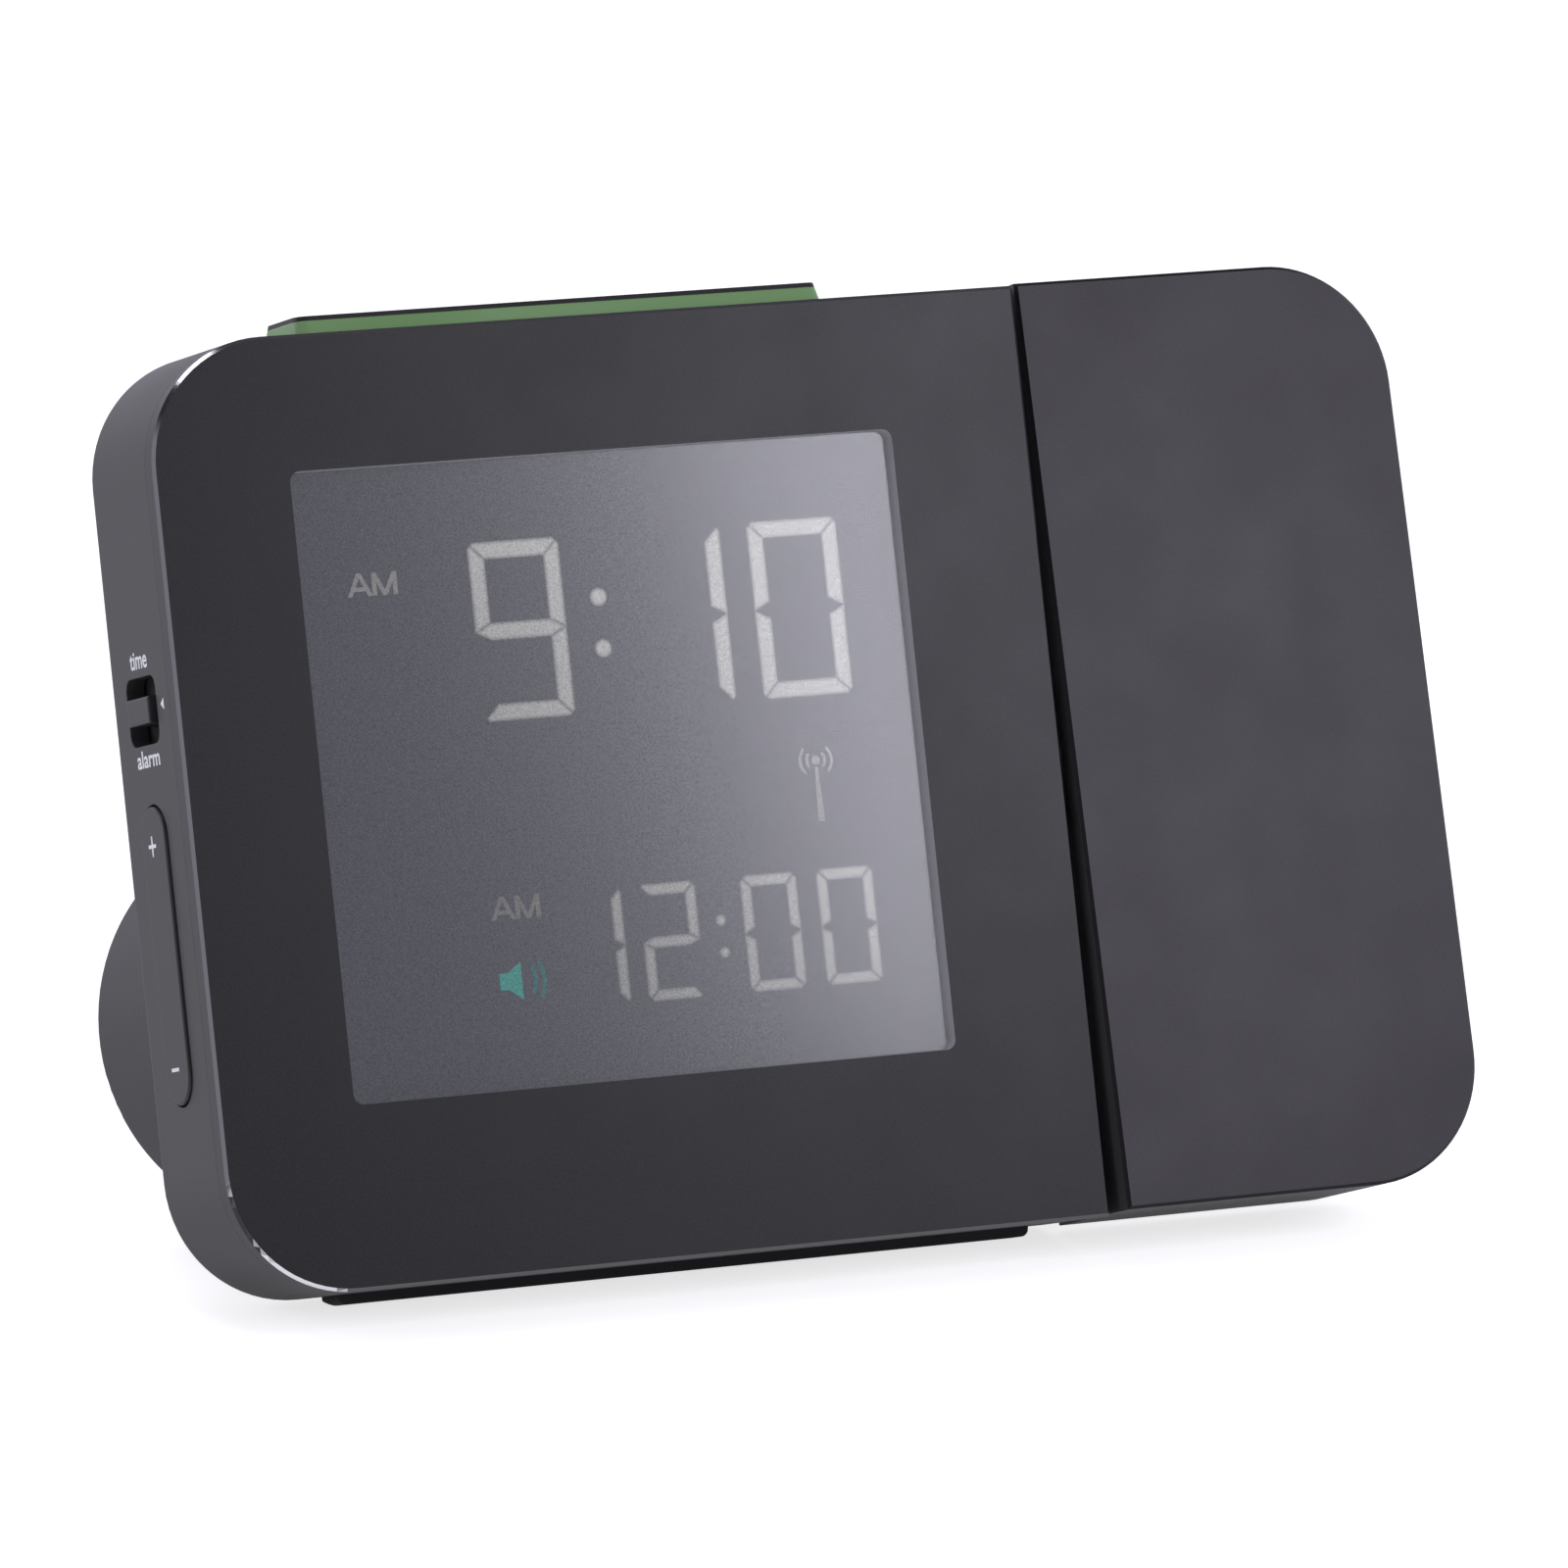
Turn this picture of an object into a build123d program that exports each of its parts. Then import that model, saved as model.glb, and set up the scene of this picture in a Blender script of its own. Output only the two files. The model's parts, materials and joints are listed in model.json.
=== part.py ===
from build123d import *

import os
from math import cos, radians, sin, tan

# Radio-controlled alarm clock with a turning projector head.
# It is drawn upright and square: X to the right from the slab's left side, Y back from the
# front plane, Z up from the slab's bottom. At the end it leans back on its feet, all in mm.

# Slab: a clock section and a projector head side by side, with a thin slot between them
SLAB_H = 88.0
SLAB_T = 17.0
MAIN_W = 87.8
HEAD_W = 37.9
SLOT_W = 1.1
CORNER_R = 11.8
REAR_EDGE_R = 1.0
PANEL_T = 2.0
PANEL_CHAMFER = 0.3
WALL = 1.8
WEB = 1.5
COVER_T = 2.0
LEAN = 18.5
HEAD_TURN = 2.4

# Clearances
FIT = 0.15
RUN = 0.05
KEY_GAP = 0.2
TABLE_CLEAR = 0.3

# Display: a recessed window in the front panel, with the pane, cell and light guide behind it
WINDOW_LEFT = 13.25
WINDOW_RIGHT = 14.0
WINDOW_BOTTOM = 16.95
WINDOW_TOP = 12.65
WINDOW_R = 1.0
PANE_LAP = 1.5
PANE_T = 0.8
LCD_T = 1.8
GUIDE_T = 2.4
HOLDER_WALL = 1.2
HOLDER_BACK = 1.0
HOLDER_LIP = 5.0
STRIP_H = 3.0

# Main circuit board, its receiver can, screws and posts
PCB_T = 1.2
POST_R = 2.0
POST_INSET_X = 4.0
POST_GAP = 0.1
PILOT_R = 0.9
PILOT_DEPTH = 3.5
PCB_EDGE = 2.0
PCB_GAP = 0.4
CAN_W = 12.0
CAN_H = 2.2
CAN_R = 1.0
SCREW_R = 0.85
SCREW_HEAD_R = 1.7
SCREW_HEAD_H = 1.0
SCREW_L = 3.0

# Rear cover screws and the bosses that they go into
BOSS_R = 2.8
BOSS_INSET = 8.0
COVER_SCREW_R = 1.1
COVER_SCREW_L = 8.0
COVER_HEAD_R = 2.1
COVER_HEAD_H = 1.0
COVER_SINK = 1.2
BOSS_DEPTH = 8.0

# Ferrite rod antenna along the bottom of the case
ROD_R = 2.8
ROD_GAP = 4.5
COIL_R = 3.4
COIL_L = 24.0
ROD_LIFT = 0.4
CRADLE_T = 1.6
CRADLE_IN = 6.0

# Snooze bar in the top wall
SNOOZE_L = 53.6
SNOOZE_D = 9.2
SNOOZE_FRONT = 4.0
SNOOZE_RISE = 1.55
SNOOZE_CAP = 0.45
SNOOZE_R = 1.6
SNOOZE_DRAFT = 15.0
SNOOZE_FLANGE = 1.2
SNOOZE_LIP = 1.2
SNOOZE_TRAVEL = 1.0
SNOOZE_FROM_POST = 10.1

# Tact switches under the keys, and the stems that press them
SWITCH = 5.2
SWITCH_H = 3.4
STEM_R = 1.2
STEM_BORE_R = 1.5
STEM_BORE = 2.2
STEM_IN = 0.6

# Mode slide switch in the left wall
SIDE_Y = 9.0
MODE_ABOVE_ROCKER = 8.8
MODE_SLOT_H = 6.3
MODE_SLOT_D = 7.6
MODE_SLOT_R = 1.2
MODE_KNOB_H = 2.5
MODE_KNOB_D = 5.6
MODE_PROUD = 0.5
MODE_TRAVEL = 1.7
MODE_SHUTTER_H = 10.4
MODE_SHUTTER_D = 9.0
MODE_SHUTTER_T = 0.8
MODE_FORK_H = 1.6
MODE_FORK_D = 3.0
MODE_BODY_H = 9.0
MODE_BODY_D = 6.4

# Rocker key in the left wall
ROCKER_Z = 32.45
ROCKER_L = 27.6
ROCKER_D = 6.0
ROCKER_PROUD = 0.3
ROCKER_EDGE_R = 0.25
ROCKER_LIP = 1.0
ROCKER_LIP_T = 0.8
ROCKER_LIP_GAP = 0.6
ROCKER_PIN_R = 1.0
ROCKER_EAR = 1.1
ROCKER_EAR_H = 4.4
ROCKER_EAR_U = 2.8
ROCKER_STEMS = 22.0
SIDE_BOARD_T = 1.0
SIDE_BOARD_END = 3.0
SIDE_SWITCH_GAP = 0.8
RIB_T = 1.2
RIB_L = 4.0

# Rear push buttons and sounder
BUTTON_R = 3.2
BUTTON_PROUD = 0.8
BUTTON_FLANGE = 1.2
BUTTON_FLANGE_T = 0.8
BUTTON_EDGE_R = 0.4
BUTTON_PITCH = 12.0
BUTTON_COUNT = 3
BUTTON_LEFT = 18.0
BUTTON_FROM_TOP = 20.0
SOUNDER_R = 10.0
SOUNDER_T = 3.2
SOUNDER_RIM = 4.2
SOUNDER_PITCH = 18.0
SOUND_HOLE_R = 0.8
SOUND_RING_R = 4.0
SOUND_HOLES = 8

# Battery pod on the back: two AA cells lie in its bay, across the clock
CELL_D = 14.2
CELL_L = 50.0
CELL_NUB_R = 2.7
CELL_NUB_L = 1.4
CELL_GAP = 0.7
CELL_SEAT = 0.3
CELL_TOP_ROOM = 0.6
CONTACT_T = 0.5
CONTACT_W = 9.0
SPRING_L = 6.0
SPRING_R = 4.2
SPRING_TIP_R = 2.6
BAY_WALL = 1.2
POD_ROOM = 1.1
POD_WALL = 2.0
POD_EDGE_R = 1.0
POD_RIGHT = 2.9
POD_JACK_ROOM = 1.6
POD_Z = 26.4
POD_DEPTH = 20.0
DOOR_LEDGE = 1.4
DOOR_T = 1.2
DOOR_R = 3.0
DOOR_GAP = 0.2
DOOR_RIB = 1.0
DOOR_RIB_L = 34.0
DOOR_NOTCH_R = 5.0
DOOR_NOTCH = 0.6
JACK = 8.0
JACK_L = 10.5
JACK_BORE_R = 2.8
JACK_BORE = 9.0
JACK_PIN_R = 0.9

# Feet: a rubber strip under the slab and two wedges under the pod
FOOT_LEFT = 14.2
FOOT_RIGHT = 3.4
FOOT_FRONT = 11.6
FOOT_LAND = 14.2
FOOT_BACK = 15.8
FOOT_DROP = 0.95
FOOT_SINK = 0.6
FOOT_END_R = 0.8
PAD_L = 5.5
PAD_W = 12.0
PAD_INSET = 2.0

# Head hinge: a hollow trunnion on the head turns in a bush in the clock section
TRUNNION_R = 3.6
TRUNNION_BORE = 2.3
TRUNNION_FLANGE_R = 5.4
TRUNNION_FLANGE_T = 1.5
TRUNNION_END = 1.2
BUSH_WALL = 1.2
BUSH_FLANGE_T = 1.0
HINGE_BOSS_L = 3.6
HINGE_BOSS_R = 5.7
HINGE_FLANGE_R = 5.5
WASHER_T = 0.8
CLIP_T = 0.8
CLIP_GROOVE = 0.6
CLIP_MOUTH = 4.6
THRUST_R = 7.0
THRUST_PLAY = 0.05
CABLE_R = 1.5

# Projector in the head: light at the bottom, lens at the top
HEAD_WEB = 1.2
RING_GAP = 0.4
RING_PROUD = 1.2
RING_H = 5.0
RING_FROM_TOP = 17.0
RING_NOTCHES = 24
RING_NOTCH_R = 0.45
RING_PLAY = 0.2
SHELF_T = 1.8
CHEEK_GAP = 0.7
CHEEK_T = 1.2
CHEEK_BACK = 0.3
BARREL_L = 24.0
BARREL_GAP = 0.4
BARREL_TOP = 5.6
BARREL_WALL = 0.9
BARREL_KEY = 0.6
BARREL_KEY_W = 1.6
FOCUS_TRAVEL = 1.8
LENS_T = 3.0
LENS_BULGE = 0.9
LENS_LEDGE = 0.6
MINI_LCD_FROM_TOP = 43.0
MINI_LCD_W = 9.0
MINI_LCD_D = 7.4
MINI_LCD_T = 1.6
CONDENSER_FROM_TOP = 55.0
CONDENSER_R = 3.6
CONDENSER_T = 3.0
CONDENSER_BULGE = 1.4
LIGHT_BORE_R = 2.8
LED_FROM_TOP = 66.0
LED_R = 2.0
LED_L = 3.0
LED_BOARD_W = 10.0
LED_BOARD_D = 7.4
LED_BOARD_T = 1.0
DRIVER_T = 1.0
DRIVER_H = 26.0
DRIVER_EDGE = 1.0
EYE_R = 3.6
EYE_LEDGE = 0.6
EYE_T = 1.0
FOCUS_SLOT_GAP = 0.4

# Worked out from the sizes above
RIGHT = (1, 0, 0)
LEFT = (-1, 0, 0)
BACK = (0, 1, 0)
FORWARD = (0, -1, 0)
UP = (0, 0, 1)
DOWN = (0, 0, -1)
INNER_FRONT = PANEL_T + WEB
INNER_BACK = SLAB_T - COVER_T
HEAD_X0 = MAIN_W + SLOT_W
HEAD_X1 = HEAD_X0 + HEAD_W
WINDOW_W = MAIN_W - WINDOW_LEFT - WINDOW_RIGHT
WINDOW_H = SLAB_H - WINDOW_TOP - WINDOW_BOTTOM
WINDOW_X = WINDOW_LEFT + WINDOW_W / 2
WINDOW_Z = WINDOW_BOTTOM + WINDOW_H / 2
PANE_W = WINDOW_W + 2 * PANE_LAP
PANE_H = WINDOW_H + 2 * PANE_LAP
HOLDER_W = PANE_W + 2 * (FIT + HOLDER_WALL)
HOLDER_H = PANE_H + 2 * (FIT + HOLDER_WALL)
LCD_Y = PANEL_T + PANE_T
GUIDE_Y = LCD_Y + LCD_T
HOLDER_Y = GUIDE_Y + GUIDE_T
PCB_Y = HOLDER_Y + HOLDER_BACK
PCB_BACK = PCB_Y + PCB_T
WEB_OPEN_W = HOLDER_W + 2 * FIT
WEB_OPEN_H = HOLDER_H + 2 * FIT
PCB_X0 = BOSS_INSET + BOSS_R + PCB_GAP
PCB_X1 = WINDOW_X + WEB_OPEN_W / 2
POST_X = (PCB_X0 + POST_INSET_X, PCB_X1 - POST_INSET_X)
SNOOZE_STEMS = 2 * (WINDOW_X - POST_X[0] - SNOOZE_FROM_POST)
POST_REACH = WEB_OPEN_H / 2 + POST_R + POST_GAP
POST_Z = (WINDOW_Z - POST_REACH, WINDOW_Z + POST_REACH)
PCB_Z0 = POST_Z[0] - PCB_EDGE
PCB_Z1 = POST_Z[1] + PCB_EDGE
BOSS_X = (BOSS_INSET, MAIN_W - BOSS_INSET)
BOSS_Z = (BOSS_INSET, SLAB_H - BOSS_INSET)
ROD_X = (BOSS_X[0] + BOSS_X[1]) / 2
ROD_L = BOSS_X[1] - BOSS_X[0] - 2 * (BOSS_R + ROD_GAP)
ROD_Y = (INNER_FRONT + INNER_BACK) / 2
ROD_Z = WALL + ROD_LIFT + COIL_R
CRADLE_REACH = ROD_L / 2 - CRADLE_IN
SNOOZE_Y = SNOOZE_FRONT + SNOOZE_D / 2
SNOOZE_LOW = SLAB_H - WALL - KEY_GAP - SNOOZE_FLANGE
SNOOZE_SWITCH_Y = PCB_BACK + SWITCH / 2
SNOOZE_SWITCH_TOP = SNOOZE_LOW - SNOOZE_TRAVEL - KEY_GAP
MODE_Z = ROCKER_Z + ROCKER_L / 2 + MODE_ABOVE_ROCKER
KEY_LIP_X = WALL + ROCKER_LIP_GAP
SIDE_BOARD_X = KEY_LIP_X + ROCKER_LIP_T + SIDE_SWITCH_GAP + SWITCH_H
SIDE_BOARD_Z0 = ROCKER_Z - ROCKER_STEMS / 2 - SWITCH / 2 - SIDE_BOARD_END
SIDE_BOARD_Z1 = MODE_Z + MODE_BODY_H / 2 + SIDE_BOARD_END
BUTTON_Z = SLAB_H - BUTTON_FROM_TOP
BUTTON_X = [BUTTON_LEFT + i * BUTTON_PITCH for i in range(BUTTON_COUNT)]
SOUNDER_X = BUTTON_X[-1] + SOUNDER_PITCH
BAY_H = 2 * CELL_D + CELL_GAP + 2 * CELL_SEAT
BAY_L = CELL_L + CONTACT_T + SPRING_L
BAY_DEPTH = CELL_D + CELL_SEAT + CELL_TOP_ROOM
POD_R = BAY_H / 2 + BAY_WALL + POD_ROOM + POD_WALL
POD_END = BAY_WALL + FIT + JACK + POD_JACK_ROOM + POD_WALL
POD_L = BAY_L + 2 * POD_END
POD_X = MAIN_W - POD_RIGHT - POD_L / 2
POD_BACK = SLAB_T + POD_DEPTH
BAY_BACK = POD_BACK - POD_WALL
BAY_FLOOR = BAY_BACK - BAY_DEPTH
CELL_Y = BAY_FLOOR + CELL_SEAT + CELL_D / 2
CELL_Z = (POD_Z - (CELL_D + CELL_GAP) / 2, POD_Z + (CELL_D + CELL_GAP) / 2)
BAY_X0 = POD_X - BAY_L / 2
BAY_X1 = POD_X + BAY_L / 2
JACK_X = BAY_X1 + BAY_WALL + FIT + JACK / 2
HINGE_Y = (INNER_FRONT + INNER_BACK) / 2
HINGE_Z = SLAB_H / 2
HINGE_BOSS_X = MAIN_W - WALL - HINGE_BOSS_L
BUSH_R = TRUNNION_R + RUN
CLIP_X = HINGE_BOSS_X - BUSH_FLANGE_T - WASHER_T - CLIP_T
HEAD_FRONT = PANEL_T + HEAD_WEB
HEAD_BOSS_X = (HEAD_X0 + BOSS_INSET, HEAD_X1 - BOSS_INSET)
OPTIC_X = (HEAD_X0 + HEAD_X1) / 2
RING_R = (SLAB_T + RING_PROUD - HEAD_FRONT - RING_GAP) / 2
OPTIC_Y = SLAB_T + RING_PROUD - RING_R
BARREL_R = INNER_BACK - BARREL_GAP - OPTIC_Y
RING_Z = SLAB_H - RING_FROM_TOP
BARREL_KEY_TOP = RING_Z - RING_PLAY - FOCUS_TRAVEL - FIT
BARREL_Z1 = SLAB_H - WALL - BARREL_TOP
BARREL_Z0 = BARREL_Z1 - BARREL_L
CHEEK_X = RING_R + CHEEK_GAP
DRIVER_X = OPTIC_X - CHEEK_X - CHEEK_T - DRIVER_T


def block(x, y, z):
    """A box from its (low, high) pairs along X, Y and Z."""
    size = [high - low for low, high in (x, y, z)]
    middle = [(low + high) / 2 for low, high in (x, y, z)]
    return Pos(*middle) * Box(*size)


def about(centre, size):
    """The (low, high) pair of a size about its centre."""
    return (centre - size / 2, centre + size / 2)


def upright(face, front, back):
    """A face drawn in X and Z, made solid between two depths."""
    return extrude(Plane(origin=(0, back, 0), x_dir=RIGHT, z_dir=FORWARD) * face, back - front)


def sideways(face, left, right):
    """A face drawn in Y and Z, made solid between two places along X."""
    return extrude(Plane(origin=(left, 0, 0), x_dir=BACK, z_dir=RIGHT) * face, right - left)


def rod(start, direction, length, radius):
    """A round bar from a point along a direction."""
    return extrude(Plane(origin=start, z_dir=direction) * Circle(radius), length)


def tube(start, direction, length, outer, inner):
    """A round bar with a bore."""
    return rod(start, direction, length, outer) - rod(start, direction, length, inner)


def outline(left, right, inset, rounded):
    """The slab's section between two places along X, drawn in by inset, with one side rounded."""
    face = Rectangle(right - left - 2 * inset, SLAB_H - 2 * inset)
    corners = face.vertices().sort_by(Axis.X)
    outer = corners[:2] if rounded == "left" else corners[-2:]
    return Pos((left + right) / 2, SLAB_H / 2) * fillet(outer, CORNER_R - inset)


def table(y):
    """The height of the table under the upright slab, which rises backwards as the slab leans."""
    return (y - FOOT_LAND) * tan(radians(LEAN)) - FOOT_DROP


def edges_at(part, axis, last):
    """The outer edges of the face that lies lowest, or highest, along an axis."""
    return part.faces().sort_by(axis)[-1 if last else 0].outer_wire().edges()


def front_plate(left, right, rounded):
    """A front plate with a bevelled edge all round."""
    plate = upright(outline(left, right, 0, rounded), 0, PANEL_T)
    return chamfer(edges_at(plate, Axis.Y, False), PANEL_CHAMFER)


def window_face(lap, radius):
    """The display window's rectangle, grown by lap on each side."""
    face = RectangleRounded(WINDOW_W + 2 * lap, WINDOW_H + 2 * lap, radius)
    return Pos(WINDOW_X, WINDOW_Z) * face


def pod_face(inset):
    """The battery pod's obround section, drawn in by inset."""
    return Pos(POD_X, POD_Z) * SlotOverall(POD_L - 2 * inset, 2 * (POD_R - inset))


def cover_screw(x, z):
    """A pan head screw that goes forwards into a boss."""
    head = rod((x, SLAB_T - COVER_SINK, z), BACK, COVER_HEAD_H, COVER_HEAD_R)
    return head + rod((x, SLAB_T - COVER_SINK, z), FORWARD, COVER_SCREW_L, COVER_SCREW_R)


def boss(x, z, front):
    """A screw boss from a front wall back to the cover."""
    post = rod((x, front, z), BACK, INNER_BACK - front, BOSS_R)
    return post - rod((x, INNER_BACK, z), FORWARD, BOSS_DEPTH, COVER_SCREW_R + RUN)


def screw_way(x, z):
    """The clearance hole and the sunk seat of a cover screw."""
    hole = rod((x, INNER_BACK, z), BACK, COVER_T, COVER_SCREW_R + FIT)
    return hole + rod((x, SLAB_T - COVER_SINK, z), BACK, COVER_SINK, COVER_HEAD_R + KEY_GAP)


def tact_switch(seat, direction):
    """A tact switch body on a seat, with the bore that its stem slides in."""
    turned = Plane(origin=seat, z_dir=direction)
    body = extrude(turned * Rectangle(SWITCH, SWITCH), SWITCH_H)
    bore = extrude(turned.offset(SWITCH_H - STEM_BORE) * Circle(STEM_BORE_R), STEM_BORE)
    return body - bore


def front_panel():
    """Front plate of the clock section, with the display window cut through it."""
    plate = front_plate(0, MAIN_W, "left")
    return plate - upright(window_face(0, WINDOW_R), 0, PANEL_T)


def display_pane():
    """Clear pane bonded behind the window."""
    return upright(window_face(PANE_LAP, WINDOW_R), PANEL_T, LCD_Y)


def lcd_cell():
    """Liquid crystal cell: two glass sheets, the rear one longer at the bottom for its contacts."""
    rear = upright(window_face(PANE_LAP, WINDOW_R), LCD_Y + LCD_T / 2, GUIDE_Y)
    front_h = PANE_H - STRIP_H
    front = Pos(WINDOW_X, WINDOW_Z + STRIP_H / 2) * RectangleRounded(PANE_W, front_h, WINDOW_R)
    return rear + upright(front, LCD_Y, LCD_Y + LCD_T / 2)


def light_guide():
    """Backlight plate behind the cell."""
    return upright(window_face(PANE_LAP, WINDOW_R), GUIDE_Y, HOLDER_Y)


def lcd_holder():
    """Frame that keeps the pane, cell and light guide together, open in the middle of its back."""
    outer = upright(Pos(WINDOW_X, WINDOW_Z) * Rectangle(HOLDER_W, HOLDER_H), PANEL_T, PCB_Y)
    pocket = upright(window_face(PANE_LAP + FIT, WINDOW_R), PANEL_T, HOLDER_Y)
    window = upright(window_face(PANE_LAP - HOLDER_LIP, WINDOW_R), HOLDER_Y, PCB_Y)
    return outer - pocket - window


def main_pcb():
    """Main circuit board, fixed by four screws to the posts of the case."""
    board = block((PCB_X0, PCB_X1), (PCB_Y, PCB_BACK), (PCB_Z0, PCB_Z1))
    for x in POST_X:
        for z in POST_Z:
            board -= rod((x, PCB_Y, z), BACK, PCB_T, SCREW_R + FIT)
    return board


def radio_receiver():
    """Shield can of the time-signal receiver, on the back of the main board."""
    can = block(about(WINDOW_X, CAN_W), (PCB_BACK, PCB_BACK + CAN_H), about(WINDOW_Z, CAN_W))
    return fillet(edges_at(can, Axis.Y, True), CAN_R)


def pcb_screws():
    """Four screws that hold the main board."""
    screws = []
    for x in POST_X:
        for z in POST_Z:
            head = rod((x, PCB_BACK, z), BACK, SCREW_HEAD_H, SCREW_HEAD_R)
            screws.append(head + rod((x, PCB_BACK, z), FORWARD, SCREW_L, SCREW_R))
    return Compound(screws)


def antenna_rod():
    """Ferrite rod of the time-signal antenna."""
    return rod((ROD_X - ROD_L / 2, ROD_Y, ROD_Z), RIGHT, ROD_L, ROD_R)


def antenna_coil():
    """Winding on its former round the middle of the ferrite rod."""
    return tube((ROD_X - COIL_L / 2, ROD_Y, ROD_Z), RIGHT, COIL_L, COIL_R, ROD_R + RUN)


def cradle(x):
    """A rib of the case that the ferrite rod lies in."""
    rib = block(about(x, CRADLE_T), (INNER_FRONT, INNER_BACK), (WALL, ROD_Z))
    return rib - rod((x - CRADLE_T / 2, ROD_Y, ROD_Z), RIGHT, CRADLE_T, ROD_R + RUN)


def rocker_ear(front, back):
    """An ear of the case that carries one end of the rocker's pin."""
    ear = block((WALL, WALL + ROCKER_EAR_U), (front, back), about(ROCKER_Z, ROCKER_EAR_H))
    pin = (KEY_LIP_X + ROCKER_LIP_T / 2, front, ROCKER_Z)
    return ear - rod(pin, BACK, back - front, ROCKER_PIN_R + RUN)


def side_board_rib(z):
    """A pair of ribs of the case with a groove that holds one end of the side board."""
    low = SIDE_BOARD_X - RIB_T
    high = SIDE_BOARD_X + SIDE_BOARD_T + RIB_T
    rib = block((low, high), (INNER_FRONT, INNER_FRONT + RIB_L), about(z, RIB_T))
    groove = (SIDE_BOARD_X - RUN, SIDE_BOARD_X + SIDE_BOARD_T + RUN)
    return rib - block(groove, (INNER_FRONT + RIB_T, INNER_FRONT + RIB_L), about(z, RIB_T))


def rocker_face(grow):
    """The rocker's obround outline, grown on each side."""
    face = SlotOverall(ROCKER_L + 2 * grow, ROCKER_D + 2 * grow)
    return Pos(SIDE_Y, ROCKER_Z) * Rot(0, 0, 90) * face


def snooze_face(grow):
    """The snooze bar's plan, grown on each side."""
    face = RectangleRounded(SNOOZE_L + 2 * grow, SNOOZE_D + 2 * grow, SNOOZE_R + grow)
    return Pos(WINDOW_X, SNOOZE_Y) * face


def foot_ends(grow):
    """The foot strip's (low, high) pair along X, grown at each end."""
    return (FOOT_LEFT - grow, MAIN_W - FOOT_RIGHT + grow)


def main_case():
    """Case of the clock section: one moulded ring of walls behind a web, with its posts and ribs."""
    shell = upright(outline(0, MAIN_W, 0, "left"), PANEL_T, SLAB_T)
    shell = fillet(edges_at(shell, Axis.Y, True), REAR_EDGE_R)
    shell -= upright(outline(0, MAIN_W, WALL, "left"), INNER_FRONT, SLAB_T)
    shell -= upright(Pos(WINDOW_X, WINDOW_Z) * Rectangle(WEB_OPEN_W, WEB_OPEN_H), PANEL_T, INNER_FRONT)
    for x in POST_X:
        for z in POST_Z:
            post = rod((x, INNER_FRONT, z), BACK, PCB_Y - INNER_FRONT, POST_R)
            shell += post - rod((x, PCB_Y, z), FORWARD, PILOT_DEPTH, PILOT_R)
    for x in BOSS_X:
        for z in BOSS_Z:
            shell += boss(x, z, INNER_FRONT)
    for x in about(ROD_X, 2 * CRADLE_REACH):
        shell += cradle(x)
    shell += rocker_ear(INNER_FRONT, INNER_FRONT + ROCKER_EAR)
    shell += rocker_ear(INNER_BACK - ROCKER_EAR, INNER_BACK)
    for z in (SIDE_BOARD_Z0 + RIB_T, SIDE_BOARD_Z1 - RIB_T):
        shell += side_board_rib(z)
    shell += rod((HINGE_BOSS_X, HINGE_Y, HINGE_Z), RIGHT, HINGE_BOSS_L, HINGE_BOSS_R)
    shell -= rod((HINGE_BOSS_X, HINGE_Y, HINGE_Z), RIGHT, HINGE_BOSS_L + WALL, BUSH_R + BUSH_WALL + RUN)
    shell -= extrude(Pos(0, 0, SLAB_H - WALL) * snooze_face(KEY_GAP), WALL)
    mode = Pos(SIDE_Y, MODE_Z) * RectangleRounded(MODE_SLOT_D, MODE_SLOT_H, MODE_SLOT_R)
    shell -= sideways(mode, 0, WALL)
    shell -= sideways(rocker_face(KEY_GAP), 0, WALL)
    recess = (FOOT_FRONT - FIT, FOOT_BACK + FIT)
    return shell - block(foot_ends(FIT), recess, (0, FOOT_SINK))


def side_board():
    """Small board beside the left wall that carries the mode switch and the rocker's switches."""
    depth = (INNER_FRONT + RIB_T, INNER_BACK - RIB_T)
    return block((SIDE_BOARD_X, SIDE_BOARD_X + SIDE_BOARD_T), depth, (SIDE_BOARD_Z0, SIDE_BOARD_Z1))


def rocker_switches():
    """The two tact switches under the rocker's ends."""
    places = about(ROCKER_Z, ROCKER_STEMS)
    return Compound([tact_switch((SIDE_BOARD_X, SIDE_Y, z), LEFT) for z in places])


def rocker_key():
    """Plus and minus rocker: an obround key with a lip behind the wall, a pivot pin and two stems."""
    key = sideways(rocker_face(0), -ROCKER_PROUD, KEY_LIP_X)
    key = fillet(edges_at(key, Axis.X, False), ROCKER_EDGE_R)
    key += sideways(rocker_face(ROCKER_LIP), KEY_LIP_X, KEY_LIP_X + ROCKER_LIP_T)
    pin = (KEY_LIP_X + ROCKER_LIP_T / 2, INNER_FRONT + RUN, ROCKER_Z)
    key += rod(pin, BACK, INNER_BACK - INNER_FRONT - 2 * RUN, ROCKER_PIN_R)
    stem = SIDE_SWITCH_GAP + STEM_IN
    for z in about(ROCKER_Z, ROCKER_STEMS):
        key += rod((KEY_LIP_X + ROCKER_LIP_T, SIDE_Y, z), RIGHT, stem, STEM_R)
    return key


def mode_switch_body():
    """Body of the slide switch, with the groove that its lever moves in."""
    front = SIDE_BOARD_X - SWITCH_H
    body = block((front, SIDE_BOARD_X), about(SIDE_Y, MODE_BODY_D), about(MODE_Z, MODE_BODY_H))
    groove_h = MODE_FORK_H + 2 * (MODE_TRAVEL + KEY_GAP)
    groove = (about(SIDE_Y, MODE_FORK_D + 2 * KEY_GAP), about(MODE_Z, groove_h))
    return body - block((front, front + STEM_BORE), *groove)


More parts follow.
